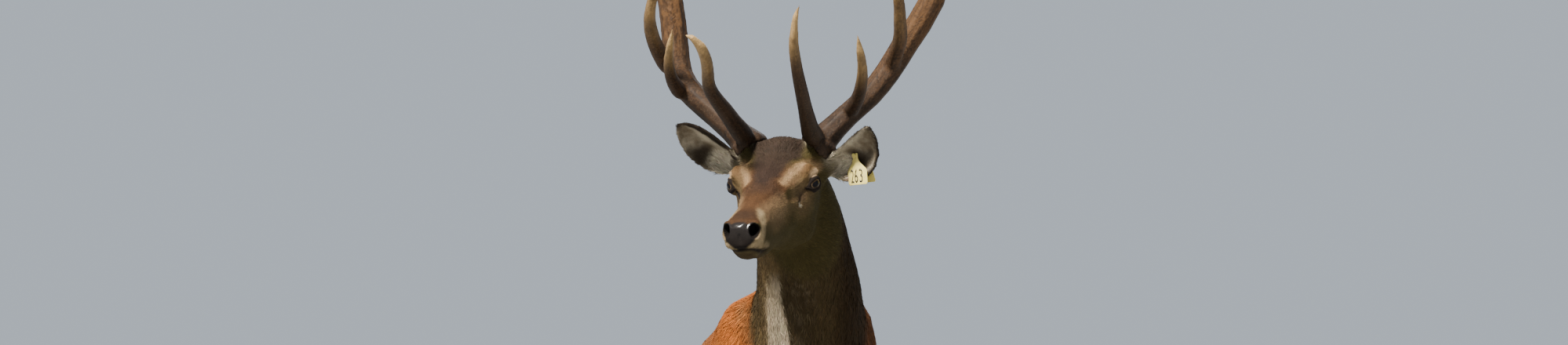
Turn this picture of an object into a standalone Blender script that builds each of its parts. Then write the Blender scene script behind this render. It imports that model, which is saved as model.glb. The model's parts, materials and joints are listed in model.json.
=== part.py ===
"""A life-size red deer stag, standing with its head turned to its right.

The flesh is cast whole from lofted masses, melted into one smooth body and then parted by
thin cuts into head, neck, trunk, tail and legs. Ears, eyes, hooves, antlers and the ear tag
are pieces of their own, each seated on its neighbour with a fine gap. Lengths are in metres.
The stag looks along -Y, its left side is +X, and it stands on z = 0.
"""

import math

import bmesh
import bpy
import numpy as np
from mathutils import Matrix, Vector

# Whole animal
SHOULDER_HEIGHT = 1.245  # withers, coat included
RUMP_HEIGHT = 1.185
BELLY_HEIGHT = 0.635
TRUNK_HALF_WIDTH = 0.215
EYE_LEVEL = 1.37
HEAD_REACH = 0.97  # eyes ahead of the middle of the trunk
HEAD_SHIFT = -0.100  # eyes towards the stag's right
HEAD_YAW = math.radians(-19.9)  # towards the stag's right
HEAD_PITCH = math.radians(14.0)  # nose below the level line

# Head
EYE_RADIUS = 0.0190
EYE_SPACING = 0.143  # between the eyeballs' centres
EYE_AHEAD = 0.000
EYE_RISE = 0.005
EAR_LENGTH = 0.185
EAR_HALF_WIDTH = 0.047
EAR_THICKNESS = 0.006
BURR_RADIUS = 0.0385

# Feet
HOOF_LENGTH = 0.082
HOOF_WIDTH = 0.034
HOOF_HEIGHT = 0.052
FRONT_TRACK = 0.122  # foot from the midline
HIND_TRACK = 0.128
LEG_TURNS_AT = 0.80  # a step ahead or back bends the leg below this height

# Making
GAP = 0.0004  # left between neighbouring pieces
FORK_GAP = 0.0009  # left where the tines meet the beam
CAST_VOXEL = 0.0055
FLESH_TRIANGLES = 3150
RING_SIDES = 28

SIDES = {"left": 1.0, "right": -1.0}
COAT = (0.34, 0.125, 0.045, 1.0)
GREY_COAT = (0.25, 0.19, 0.13, 1.0)
HORN = (0.045, 0.035, 0.03, 1.0)
ANTLER = (0.23, 0.12, 0.06, 1.0)
EYE = (0.03, 0.015, 0.008, 1.0)
TAG = (0.83, 0.75, 0.38, 1.0)


def spot(forward, left, up):
    """A place on the animal, given as ahead of the trunk's middle, to its left, and above the floor."""
    return Vector((left, -forward, up))


HEAD_FRAME = (
    Matrix.Translation(spot(HEAD_REACH, HEAD_SHIFT, EYE_LEVEL))
    @ Matrix.Rotation(HEAD_YAW, 4, "Z")
    @ Matrix.Rotation(HEAD_PITCH, 4, "X")
)


def on_head(forward, left, up):
    """A place on the head, measured from midway between the eyes."""
    return HEAD_FRAME @ spot(forward, left, up)


# Scene and objects


def clear_scene():
    for obj in list(bpy.data.objects):
        bpy.data.objects.remove(obj, do_unlink=True)


def collection(name):
    made = bpy.data.collections.new(name)
    bpy.context.scene.collection.children.link(made)
    return made


def finish(name, colour, roughness):
    material = bpy.data.materials.new(name)
    material.use_nodes = True
    shader = material.node_tree.nodes["Principled BSDF"]
    shader.inputs["Base Color"].default_value = colour
    shader.inputs["Roughness"].default_value = roughness
    return material


def object_from(bm, name, home, material=None):
    """A mesh object made from a bmesh, with its faces pointing out."""
    bmesh.ops.recalc_face_normals(bm, faces=bm.faces)
    mesh = bpy.data.meshes.new(name)
    bm.to_mesh(mesh)
    bm.free()
    obj = bpy.data.objects.new(name, mesh)
    home.objects.link(obj)
    if material:
        mesh.materials.append(material)
        mesh.shade_smooth()
        mesh.set_sharp_from_angle(angle=math.radians(40))
    return obj


def evaluated_mesh(obj):
    """The object's mesh as its modifiers leave it."""
    bpy.context.view_layer.update()
    graph = bpy.context.evaluated_depsgraph_get()
    return bpy.data.meshes.new_from_object(obj.evaluated_get(graph), depsgraph=graph)


def settle(obj):
    """Applies the object's modifiers."""
    mesh = evaluated_mesh(obj)
    obj.modifiers.clear()
    obj.data = mesh


def cut(obj, cutter, operation="DIFFERENCE"):
    boolean = obj.modifiers.new("cut", "BOOLEAN")
    boolean.operation = operation
    boolean.object = cutter
    settle(obj)
    bpy.data.objects.remove(cutter, do_unlink=True)


def swollen(obj, helpers, by=GAP):
    """A copy of the object, grown all over by the gap between neighbours."""
    copy = bpy.data.objects.new(obj.name + "_swollen", obj.data.copy())
    helpers.objects.link(copy)
    copy.matrix_world = obj.matrix_world
    grow = copy.modifiers.new("grow", "DISPLACE")
    grow.strength = by
    grow.mid_level = 0.0
    settle(copy)
    copy.hide_render = True
    return copy


def seat(piece, neighbour, helpers, gap=GAP):
    """Cuts the piece back so that it meets its neighbour with a fine gap."""
    cut(piece, swollen(neighbour, helpers, gap))


def keep_largest(obj):
    """Drops the crumbs that a cut leaves, and keeps the largest body."""
    bm = bmesh.new()
    bm.from_mesh(obj.data)
    bodies = islands(bm)
    largest = max(bodies, key=lambda body: sum(face.calc_area() for face in body))
    crumbs = [vert for body in bodies if body is not largest for face in body for vert in face.verts]
    bmesh.ops.delete(bm, geom=list(set(crumbs)), context="VERTS")
    bm.to_mesh(obj.data)
    bm.free()


def islands(bm):
    """The faces of each separate body in a bmesh."""
    found = []
    left = set(bm.faces)
    while left:
        body = {left.pop()}
        edge_of_body = list(body)
        while edge_of_body:
            face = edge_of_body.pop()
            beside = {other for edge in face.edges for other in edge.link_faces} & left
            left -= beside
            body |= beside
            edge_of_body.extend(beside)
        found.append(body)
    return found


def body_object(body, name, home, material):
    """An object of its own for one separate body of a bmesh."""
    piece = bmesh.new()
    made = {vert: piece.verts.new(vert.co) for face in body for vert in face.verts}
    for face in body:
        piece.faces.new([made[vert] for vert in face.verts])
    return object_from(piece, name, home, material)


# Lofts


def flowing(stations, steps):
    """Rows on a smooth curve through the given rows, with this many steps from one to the next."""
    rows = np.array(stations, float)
    padded = np.vstack([2 * rows[0] - rows[1], rows, 2 * rows[-1] - rows[-2]])
    made = []
    for first in range(len(rows) - 1):
        before, start, end, after = padded[first : first + 4]
        for step in range(steps):
            t = step / steps
            bend = 2 * before - 5 * start + 4 * end - after
            twist = 3 * start - before - 3 * end + after
            made.append(start + 0.5 * (t * (end - before) + t * t * bend + t**3 * twist))
    made.append(rows[-1])
    return np.array(made)


def oval(centre, across, rise, half_width, above, below, squareness=2.0, sides=RING_SIDES):
    """A ring round a centre, egg-shaped where it reaches further above than below."""
    ring = []
    for step in range(sides):
        turn = 2 * math.pi * step / sides
        c = math.cos(turn)
        s = math.sin(turn)
        out = math.copysign(abs(c) ** (2 / squareness), c) * half_width
        up = math.copysign(abs(s) ** (2 / squareness), s) * (above if s > 0 else below)
        ring.append(centre + across * out + rise * up)
    return ring


def loft(rings, name, home, material=None):
    """One closed body through rings of equally many points."""
    bm = bmesh.new()
    loops = [[bm.verts.new(point) for point in ring] for ring in rings]
    for first, second in zip(loops, loops[1:]):
        for i in range(len(first)):
            j = (i + 1) % len(first)
            bm.faces.new((first[i], first[j], second[j], second[i]))
    bm.faces.new(loops[0])
    bm.faces.new(loops[-1])
    return object_from(bm, name, home, material)


def limb(stations, name, home, frame=None, steps=4, sides=16, material=None):
    """A bent, tapering limb. Each station is forward, left, up, half its depth and half its width."""
    rows = flowing(stations, steps)
    centres = [spot(*row[:3]) for row in rows]
    rings = []
    for i, (centre, row) in enumerate(zip(centres, rows)):
        along = centres[min(i + 1, len(rows) - 1)] - centres[max(i - 1, 0)]
        across = Vector((1, 0, 0))
        rise = along.cross(across).normalized()
        across = rise.cross(along).normalized()
        rings.append(oval(centre, across, rise, row[4], row[3], row[3], sides=sides))
    if frame:
        rings = [[frame @ point for point in ring] for ring in rings]
    return loft(rings, name, home, material)


def ellipsoid(centre, radii, name, home, frame=None, pitch=0.0, sides=16):
    """A muscle mass with radii forward, across and up, its front dropped by pitch."""
    bm = bmesh.new()
    bmesh.ops.create_uvsphere(bm, u_segments=sides, v_segments=sides * 5 // 8, radius=1.0)
    forward, across, up = radii
    place = Matrix.Translation(spot(*centre))
    turn = Matrix.Rotation(pitch, 4, "X")
    shape = place @ turn @ Matrix.Diagonal((across, forward, up, 1))
    bmesh.ops.transform(bm, matrix=(frame or Matrix()) @ shape, verts=bm.verts)
    return object_from(bm, name, home)


# Masses of the flesh


def trunk_mass(home):
    """Barrel, withers and croup: forward, top, bottom, widest level, half width."""
    wide = TRUNK_HALF_WIDTH
    top = SHOULDER_HEIGHT
    low = BELLY_HEIGHT
    stations = (
        (0.665, 0.99, 0.87, 0.93, 0.045),
        (0.61, 1.09, 0.765, 0.93, 0.118),
        (0.50, top - 0.055, low + 0.045, 0.95, 0.165),
        (0.37, top - 0.002, low, 0.97, wide - 0.032),
        (0.22, top - 0.025, low - 0.005, 0.95, wide - 0.012),
        (0.05, top - 0.052, low + 0.005, 0.93, wide),
        (-0.12, top - 0.060, low + 0.028, 0.93, wide),
        (-0.28, RUMP_HEIGHT - 0.006, low + 0.085, 0.96, wide - 0.024),
        (-0.42, RUMP_HEIGHT, low + 0.150, 0.97, wide - 0.044),
        (-0.54, RUMP_HEIGHT - 0.018, low + 0.205, 1.00, wide - 0.060),
        (-0.635, RUMP_HEIGHT - 0.065, low + 0.245, 1.01, wide - 0.100),
        (-0.70, RUMP_HEIGHT - 0.130, low + 0.300, 1.01, 0.055),
    )
    rings = []
    for forward, top, bottom, level, half_width in flowing(stations, 4):
        centre = spot(forward, 0, level)
        across = Vector((1, 0, 0))
        rise = Vector((0, 0, 1))
        rings.append(oval(centre, across, rise, half_width, top - level, level - bottom, 2.2))
    return loft(rings, "trunk_mass", home)


def neck_mass(home):
    """Neck with its collar growing in: forward, left, up, half depth, half width."""
    stations = (
        (0.34, 0.000, 0.93, 0.270, 0.168),
        (0.47, 0.003, 1.005, 0.228, 0.146),
        (0.58, 0.003, 1.085, 0.190, 0.122),
        (0.68, -0.006, 1.165, 0.157, 0.104),
        (0.755, -0.019, 1.245, 0.134, 0.096),
        (0.820, -0.038, 1.320, 0.117, 0.090),
        (0.870, -0.056, 1.385, 0.082, 0.071),
    )
    return limb(stations, "neck_mass", home, sides=24)


def head_mass(home):
    """Skull, face and jaw: forward, top, bottom, widest level, half width and squareness."""
    stations = (
        (0.272, -0.032, -0.066, -0.050, 0.020, 2.4),
        (0.262, -0.022, -0.078, -0.049, 0.031, 2.6),
        (0.240, -0.015, -0.086, -0.051, 0.0375, 2.6),
        (0.205, -0.008, -0.092, -0.055, 0.0395, 2.5),
        (0.165, 0.000, -0.097, -0.054, 0.0400, 2.4),
        (0.120, 0.011, -0.102, -0.046, 0.0440, 2.3),
        (0.080, 0.024, -0.107, -0.030, 0.0510, 2.3),
        (0.040, 0.038, -0.113, -0.014, 0.0590, 2.3),
        (0.010, 0.049, -0.120, 0.002, 0.0725, 2.5),
        (-0.030, 0.055, -0.128, 0.006, 0.0775, 2.4),
        (-0.075, 0.057, -0.126, -0.004, 0.0740, 2.2),
        (-0.120, 0.045, -0.108, -0.018, 0.0670, 2.1),
        (-0.160, 0.015, -0.090, -0.035, 0.0520, 2.0),
    )
    across = HEAD_FRAME.to_3x3() @ Vector((1, 0, 0))
    rise = HEAD_FRAME.to_3x3() @ Vector((0, 0, 1))
    rings = []
    for forward, top, bottom, level, half_width, squareness in flowing(stations, 4):
        centre = on_head(forward, 0, level)
        rings.append(oval(centre, across, rise, half_width, top - level, level - bottom, squareness))
    return loft(rings, "head_mass", home)


def face_masses(home):
    """What stands out of the head: brows, cheeks, nostrils, lips, chin, antler stumps and ear roots."""
    made = [ellipsoid((-0.078, 0, 0.052), (0.050, 0.056, 0.032), "crown", home, HEAD_FRAME)]
    made.append(ellipsoid((0.216, 0, -0.084), (0.034, 0.0245, 0.0175), "chin", home, HEAD_FRAME))
    made.append(ellipsoid((0.130, 0, -0.092), (0.090, 0.024, 0.019), "jaw_line", home, HEAD_FRAME))
    for side, sign in SIDES.items():
        brow = ((-0.003, sign * 0.068, 0.022), (0.034, 0.0165, 0.0175))
        orbit = ((-0.007, sign * 0.065, 0.005), (0.031, 0.0180, 0.027))
        cheek = ((-0.030, sign * 0.043, -0.068), (0.055, 0.027, 0.050))
        nostril = ((0.246, sign * 0.022, -0.035), (0.021, 0.0135, 0.015))
        lip = ((0.222, sign * 0.024, -0.061), (0.038, 0.0155, 0.019))
        forms = {"brow": brow, "orbit": orbit, "cheek": cheek, "nostril": nostril, "lip": lip}
        for name, (centre, radii) in forms.items():
            made.append(ellipsoid(centre, radii, f"{name}_{side}", home, HEAD_FRAME))
        stump = ((-0.060, sign * 0.036, 0.026), (-0.078, sign * 0.054, 0.045), (-0.091, sign * 0.067, 0.060))
        made.append(tube([on_head(*row) for row in stump], (0.032, 0.030, 0.0295), f"stump_{side}", home))
        root = ((-0.085, sign * 0.050, 0.010), (-0.100, sign * 0.082, 0.034), (-0.092, sign * 0.096, 0.046))
        made.append(tube([on_head(*row) for row in root], (0.034, 0.027, 0.019), f"ear_root_{side}", home))
    return made


def shoulder_masses(home):
    """Shoulder blades, upper arms, haunches and what hangs under the belly."""
    made = [ellipsoid((-0.03, 0, 0.655), (0.115, 0.034, 0.032), "sheath", home)]
    made.append(ellipsoid((0.56, 0, 0.84), (0.085, 0.085, 0.120), "breast", home))
    for side, sign in SIDES.items():
        blade = ((0.41, sign * 0.119 - 0.009, 1.000), (0.130, 0.070, 0.212), 0.42)
        arm = ((0.455, sign * 0.112, 0.83), (0.095, 0.062, 0.115), -0.5)
        haunch = ((-0.50, sign * 0.105, 0.935), (0.160, 0.080, 0.200), -0.25)
        for name, (centre, radii, pitch) in {"blade": blade, "arm": arm, "haunch": haunch}.items():
            made.append(ellipsoid(centre, radii, f"{name}_{side}", home, pitch=pitch))
    return made


def front_leg_mass(side, step, home):
    """A foreleg from the arm to the coronet, its foot placed a step ahead."""
    sign = SIDES[side]
    stations = (
        (0.430, 0.128, 0.860, 0.098, 0.054),
        (0.392, 0.130, 0.745, 0.084, 0.052),
        (0.385, 0.128, 0.645, 0.061, 0.043),
        (0.385, 0.125, 0.545, 0.044, 0.035),
        (0.385, FRONT_TRACK, 0.450, 0.034, 0.030),
        (0.390, FRONT_TRACK, 0.392, 0.036, 0.033),
        (0.386, FRONT_TRACK, 0.335, 0.029, 0.027),
        (0.380, FRONT_TRACK, 0.250, 0.0225, 0.020),
        (0.376, FRONT_TRACK, 0.165, 0.0225, 0.020),
        (0.374, FRONT_TRACK, 0.112, 0.0290, 0.026),
        (0.388, FRONT_TRACK, 0.078, 0.0245, 0.025),
        (0.404, FRONT_TRACK, 0.045, 0.0270, 0.030),
    )
    return leg_mass(stations, sign, step, f"front_leg_{side}_mass", home)


def hind_leg_mass(side, step, home):
    """A hind leg from the thigh to the coronet, its foot placed a step ahead."""
    sign = SIDES[side]
    stations = (
        (-0.510, 0.118, 0.960, 0.165, 0.070),
        (-0.480, 0.135, 0.850, 0.150, 0.070),
        (-0.450, 0.140, 0.755, 0.116, 0.060),
        (-0.485, 0.137, 0.660, 0.076, 0.046),
        (-0.560, 0.133, 0.575, 0.048, 0.035),
        (-0.628, 0.130, 0.500, 0.042, 0.031),
        (-0.630, HIND_TRACK, 0.430, 0.033, 0.026),
        (-0.620, HIND_TRACK, 0.330, 0.0265, 0.022),
        (-0.612, HIND_TRACK, 0.220, 0.0245, 0.021),
        (-0.610, HIND_TRACK, 0.118, 0.0300, 0.027),
        (-0.592, HIND_TRACK, 0.078, 0.0255, 0.026),
        (-0.574, HIND_TRACK, 0.045, 0.0270, 0.030),
    )
    leg = leg_mass(stations, sign, step, f"hind_leg_{side}_mass", home)
    webs = []
    sheets = ((-0.580, 0.690, 0.062, 0.100, 0.040), (-0.608, 0.575, 0.046, 0.072, 0.022))
    for number, (forward, up, deep, high, wide) in enumerate(sheets):
        middle = stepped_spot(forward, sign * 0.133, up, step)
        webs.append(ellipsoid(middle, (deep, wide, high), f"web_{side}_{number}", home))
    hock = (
        (-0.575, 0.130, 0.830),
        (-0.620, 0.134, 0.705),
        (-0.643, 0.132, 0.620),
        (-0.659, 0.131, 0.555),
        (-0.643, 0.130, 0.490),
        (-0.628, 0.129, 0.440),
    )
    line = [stepped(spot(forward, sign * left, up), step) for forward, left, up in hock]
    tendon = tube(line, (0.062, 0.032, 0.019, 0.0185, 0.024, 0.025), f"hock_{side}", home)
    return [leg, tendon] + webs


def stepped_spot(forward, left, up, step):
    moved = stepped(spot(forward, left, up), step)
    return -moved.y, moved.x, moved.z


def stepped(place, step):
    """A place on a leg moved with its foot: all of the step at the floor, none of it at the body."""
    share = max(0.0, 1 - place.z / LEG_TURNS_AT)
    return place + Vector((0, -step * share, 0))


def leg_mass(stations, sign, step, name, home):
    rows = []
    for forward, left, up, deep, wide in stations:
        moved = stepped(spot(forward, sign * left, up), step)
        rows.append((-moved.y, moved.x, up, deep, wide))
    return limb(rows, name, home, steps=3)


def dewclaw_masses(side, foot, home):
    """The two small false hooves behind a fetlock."""
    made = []
    for k in (-1, 1):
        centre = (foot[0] - 0.052, foot[1] + k * 0.014, 0.082)
        made.append(ellipsoid(centre, (0.013, 0.0085, 0.014), f"dewclaw_{side}_{k}", home, pitch=-0.5))
    return made


def tail_mass(home):
    stations = (
        (-0.640, 0.0, 1.086, 0.034, 0.036),
        (-0.694, 0.0, 1.060, 0.024, 0.030),
        (-0.718, 0.0, 1.012, 0.019, 0.028),
        (-0.728, 0.0, 0.960, 0.015, 0.023),
        (-0.733, 0.0, 0.917, 0.007, 0.010),
    )
    return limb(stations, "tail_mass", home, sides=14)


# Curved pieces of one round section


def tube(points, radii, name, home, material=None, steps=3, resolution=3):
    """A tapering rod along a smooth curve through the points, closed at both ends."""
    rows = flowing([(*point, radius) for point, radius in zip(points, radii)], steps)
    curve = bpy.data.curves.new(name, "CURVE")
    curve.dimensions = "3D"
    curve.bevel_depth = 1.0
    curve.bevel_resolution = resolution
    curve.use_fill_caps = True
    spline = curve.splines.new("POLY")
    spline.points.add(len(rows) - 1)
    for point, (x, y, z, radius) in zip(spline.points, rows):
        point.co = (x, y, z, 1)
        point.radius = radius
    rod = bpy.data.objects.new(name + "_line", curve)
    home.objects.link(rod)
    bm = bmesh.new()
    bm.from_mesh(evaluated_mesh(rod))
    bpy.data.objects.remove(rod, do_unlink=True)
    bmesh.ops.remove_doubles(bm, verts=bm.verts, dist=0.00005)
    return object_from(bm, name, home, material)


# Each foot's place: ahead of the trunk's middle and left of the midline
STEPS = {"front_left": 0.045, "front_right": -0.035, "hind_left": -0.045, "hind_right": 0.050}
FEET = {
    "front_left": (0.404, FRONT_TRACK),
    "front_right": (0.404, -FRONT_TRACK),
    "hind_left": (-0.574, HIND_TRACK),
    "hind_right": (-0.574, -HIND_TRACK),
}


def foot_place(foot):
    forward, left = FEET[foot]
    return forward + STEPS[foot] * (1 - HOOF_HEIGHT / LEG_TURNS_AT), left


def hoof_claw(foot, half, sign, home, material):
    """One claw of a cloven hoof, flat on the floor, its toe sloping forwards."""
    forward, left = foot_place(foot)
    walls = (
        (0.0, 0.62, 0.36, 1.0),
        (0.45, 0.46, 0.36, 1.0),
        (0.85, 0.31, 0.32, 0.95),
        (1.0, 0.24, 0.27, 0.86),
    )
    rings = []
    for height, toe, heel, width in walls:
        centre = spot(forward, left + sign * (HOOF_WIDTH / 2 + GAP * 2), height * HOOF_HEIGHT)
        wide = width * HOOF_WIDTH / 2
        across = Vector((1, 0, 0))
        ahead = Vector((0, -1, 0))
        rings.append(oval(centre, across, ahead, wide, toe * HOOF_LENGTH, heel * HOOF_LENGTH, 2.2, 10))
    return loft(rings, f"hoof_{foot}_{half}", home, material)


# Antlers, in the head's frame: forward, left, up and radius


BEAMS = {
    "left": (
        (-0.080, 0.058, 0.046, 0.0285),
        (-0.092, 0.069, 0.060, BURR_RADIUS),
        (-0.097, 0.074, 0.068, BURR_RADIUS * 0.93),
        (-0.102, 0.081, 0.077, 0.0280),
        (-0.122, 0.123, 0.116, 0.0235),
        (-0.142, 0.164, 0.151, 0.0240),
        (-0.162, 0.198, 0.192, 0.0250),
        (-0.182, 0.231, 0.243, 0.0258),
        (-0.200, 0.284, 0.323, 0.0250),
        (-0.212, 0.318, 0.435, 0.0230),
        (-0.198, 0.346, 0.555, 0.0230),
        (-0.170, 0.362, 0.645, 0.0280),
    ),
    "right": (
        (-0.080, 0.057, 0.046, 0.0285),
        (-0.092, 0.067, 0.061, BURR_RADIUS),
        (-0.097, 0.073, 0.069, BURR_RADIUS * 0.93),
        (-0.102, 0.085, 0.082, 0.0280),
        (-0.122, 0.133, 0.118, 0.0240),
        (-0.142, 0.183, 0.157, 0.0245),
        (-0.162, 0.216, 0.197, 0.0260),
        (-0.182, 0.227, 0.252, 0.0262),
        (-0.200, 0.236, 0.335, 0.0250),
        (-0.212, 0.264, 0.440, 0.0230),
        (-0.198, 0.302, 0.557, 0.0230),
        (-0.170, 0.327, 0.647, 0.0280),
    ),
}
TREZ_FORK = 6  # the station of the beam where its middle tine leaves it
CROWN_SPREAD = {"left": 0.012, "right": -0.024}
TINES = {
    "left": {
        "brow_tine": (
            (-0.090, 0.070, 0.070, 0.0210),
            (-0.055, 0.068, 0.090, 0.0185),
            (-0.010, 0.072, 0.125, 0.0150),
            (0.045, 0.079, 0.173, 0.0125),
            (0.105, 0.085, 0.243, 0.0112),
            (0.135, 0.090, 0.296, 0.0094),
            (0.148, 0.099, 0.338, 0.0066),
            (0.150, 0.110, 0.364, 0.0014),
        ),
        "bez_tine": (
            (-0.128, 0.122, 0.112, 0.0190),
            (-0.105, 0.138, 0.132, 0.0150),
            (-0.075, 0.159, 0.162, 0.0118),
            (-0.045, 0.175, 0.208, 0.0100),
            (-0.018, 0.179, 0.252, 0.0078),
            (0.000, 0.179, 0.288, 0.0014),
        ),
        "trez_tine": (
            (-0.166, 0.196, 0.186, 0.0200),
            (-0.150, 0.213, 0.214, 0.0165),
            (-0.115, 0.235, 0.257, 0.0132),
            (-0.080, 0.245, 0.301, 0.0116),
            (-0.055, 0.250, 0.345, 0.0100),
            (-0.035, 0.246, 0.395, 0.0076),
            (-0.022, 0.232, 0.445, 0.0014),
        ),
    },
    "right": {
        "brow_tine": (
            (-0.090, 0.068, 0.071, 0.0210),
            (-0.055, 0.069, 0.094, 0.0185),
            (0.010, 0.085, 0.152, 0.0148),
            (0.065, 0.096, 0.202, 0.0130),
            (0.115, 0.084, 0.253, 0.0118),
            (0.145, 0.087, 0.291, 0.0098),
            (0.158, 0.098, 0.308, 0.0070),
            (0.162, 0.111, 0.314, 0.0014),
        ),
        "bez_tine": (
            (-0.148, 0.186, 0.155, 0.0190),
            (-0.125, 0.206, 0.170, 0.0148),
            (-0.090, 0.212, 0.199, 0.0116),
            (-0.060, 0.207, 0.241, 0.0096),
            (-0.035, 0.195, 0.274, 0.0074),
            (-0.018, 0.183, 0.309, 0.0014),
        ),
        "trez_tine": (
            (-0.172, 0.214, 0.192, 0.0200),
            (-0.150, 0.236, 0.220, 0.0170),
            (-0.118, 0.246, 0.257, 0.0142),
            (-0.088, 0.247, 0.296, 0.0126),
            (-0.068, 0.241, 0.329, 0.0110),
            (-0.055, 0.229, 0.362, 0.0096),
            (-0.040, 0.212, 0.405, 0.0072),
            (-0.030, 0.196, 0.445, 0.0014),
        ),
    },
}
CROWN = {
    "crown_front": (
        (-0.158, 0.346, 0.650, 0.0180),
        (-0.118, 0.330, 0.715, 0.0135),
        (-0.092, 0.298, 0.775, 0.0100),
        (-0.085, 0.262, 0.822, 0.0015),
    ),
    "crown_outer": (
        (-0.175, 0.356, 0.655, 0.0180),
        (-0.218, 0.388, 0.715, 0.0130),
        (-0.240, 0.402, 0.775, 0.0090),
        (-0.240, 0.396, 0.825, 0.0015),
    ),
}
CROWN_TOP = (
    (-0.165, 0.352, 0.668, 0.0235),
    (-0.172, 0.362, 0.735, 0.0170),
    (-0.186, 0.352, 0.805, 0.0110),
    (-0.196, 0.326, 0.868, 0.0015),
)


def mirrored(stations, sign, spread=0.0):
    return [(forward, sign * (left + spread), up, radius) for forward, left, up, radius in stations]


def antler_rod(stations, name, home, material, steps=1, resolution=1):
    points = [on_head(*row[:3]) for row in stations]
    return tube(points, [row[3] for row in stations], name, home, material, steps, resolution)


def split_beam(beam, fork, ahead, name, home, material):
    """Parts the beam across its own line at a fork, and names the two lengths."""
    along = (ahead - fork).normalized()
    bm = bmesh.new()
    turn = along.to_track_quat("Z", "Y").to_matrix().to_4x4()
    sheet = Matrix.Translation(fork) @ turn @ Matrix.Diagonal((0.09, 0.09, GAP, 1))
    bmesh.ops.create_cube(bm, size=1.0, matrix=sheet)
    cut(beam, object_from(bm, "fork", home))
    bm = bmesh.new()
    bm.from_mesh(beam.data)
    halves = {}
    for body in islands(bm):
        middle = sum((face.calc_center_median() for face in body), Vector()) / len(body)
        half = "beam_upper" if (middle - fork).dot(along) > 0 else "beam_lower"
        halves[half] = body_object(body, name + half, home, material)
    bm.free()
    bpy.data.objects.remove(beam, do_unlink=True)
    return halves


def antler(side, home, helpers, material):
    """One antler, split at its forks: two lengths of beam, three tines and a crown of three."""
    sign = SIDES[side]
    spread = CROWN_SPREAD[side]
    line = mirrored(BEAMS[side], sign)
    name = f"antler_{side}_"
    beam = antler_rod(line, name + "beam", home, material, 2, 2)
    fork = on_head(*line[TREZ_FORK][:3])
    made = split_beam(beam, fork, on_head(*line[TREZ_FORK + 1][:3]), name, home, material)
    lower = made["beam_lower"]
    upper = made["beam_upper"]
    for tine, stations in TINES[side].items():
        made[tine] = antler_rod(mirrored(stations, sign), name + tine, home, material)
        seat(made[tine], lower, helpers, FORK_GAP)
    seat(made["trez_tine"], upper, helpers, FORK_GAP)
    top = antler_rod(mirrored(CROWN_TOP, sign, spread), name + "crown_top", home, material)
    seat(top, upper, helpers, FORK_GAP)
    for tine, stations in CROWN.items():
        made[tine] = antler_rod(mirrored(stations, sign, spread), name + tine, home, material)
        seat(made[tine], upper, helpers, FORK_GAP)
        seat(made[tine], top, helpers, FORK_GAP)
    seat(made["crown_outer"], made["crown_front"], helpers, FORK_GAP)
    made["crown_top"] = top
    for piece in made.values():
        keep_largest(piece)
    return made


# Ears: a cupped leaf, open forwards

EAR_BASE = (-0.098, 0.087, 0.035)
EAR_TIP = {"left": (-0.004, 0.188, 0.105), "right": (-0.002, 0.182, 0.119)}
EAR_SAG = {"left": 0.038, "right": 0.022}  # how far the middle of the ear hangs under the line to its tip
EAR_OPENS = {"left": (0.85, -0.20, -0.30), "right": (0.80, -0.10, -0.52)}
EAR_COLUMNS = 6
EAR_SHAPE = (
    # along the ear, half width across the leaf, degrees of arc that the cup covers
    (0.00, 0.50, 235),
    (0.10, 0.66, 215),
    (0.22, 0.84, 180),
    (0.36, 0.97, 150),
    (0.50, 1.00, 128),
    (0.64, 0.93, 112),
    (0.78, 0.72, 96),
    (0.90, 0.42, 80),
    (1.00, 0.06, 50),
)
EAR_CURL = {"left": 0.95, "right": 1.0}  # the left ear is held more open


def ear_lines(side):
    """The ear's own directions: its root, along it, across its leaf, out of its cup, and down."""
    sign = SIDES[side]
    forward, left, up = EAR_BASE
    base = on_head(forward, sign * left, up)
    forward, left, up = EAR_TIP[side]
    tip = on_head(forward, sign * left, up)
    along = (tip - base).normalized()
    forward, left, up = EAR_OPENS[side]
    opens = HEAD_FRAME.to_3x3() @ spot(forward, sign * left, up)
    opens = (opens - along * opens.dot(along)).normalized()
    down = HEAD_FRAME.to_3x3() @ Vector((0, 0, -1))
    down = (down - along * down.dot(along)).normalized()
    return tip - along * EAR_LENGTH, along, along.cross(opens).normalized(), opens, down


def ear_point(side, share, turn):
    """A place on the ear's leaf: share of the way to the tip, and -1 to 1 from edge to edge."""
    root, along, across, opens, down = ear_lines(side)
    shares, widths, arcs = zip(*EAR_SHAPE)
    half_arc = math.radians(np.interp(share, shares, arcs)) / 2 * EAR_CURL[side]
    radius = np.interp(share, shares, widths) * EAR_HALF_WIDTH / half_arc
    sag = EAR_SAG[side] * 4 * share * (1 - share)
    back = root + along * (share * EAR_LENGTH) + down * sag - opens * (radius * 0.75)
    swing = half_arc * turn
    return back + across * (radius * math.sin(swing)) + opens * (radius * (1 - math.cos(swing)))


def ear(side, home, material):
    """An ear as a curled leaf with its own thickness, from its root on the head to its tip."""
    bm = bmesh.new()
    rows = []
    for share, *_ in EAR_SHAPE:
        turns = [2 * k / EAR_COLUMNS - 1 for k in range(EAR_COLUMNS + 1)]
        rows.append([bm.verts.new(ear_point(side, share, turn)) for turn in turns])
    for first, second in zip(rows, rows[1:]):
        for i in range(len(first) - 1):
            bm.faces.new((first[i], first[i + 1], second[i + 1], second[i]))
    shell = object_from(bm, f"ear_{side}", home, material)
    thick = shell.modifiers.new("thickness", "SOLIDIFY")
    thick.thickness = EAR_THICKNESS
    thick.offset = 0.0
    thick.use_even_offset = True
    settle(shell)
    return shell


# Ear tag: two stiff flags pinned through the left ear

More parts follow.
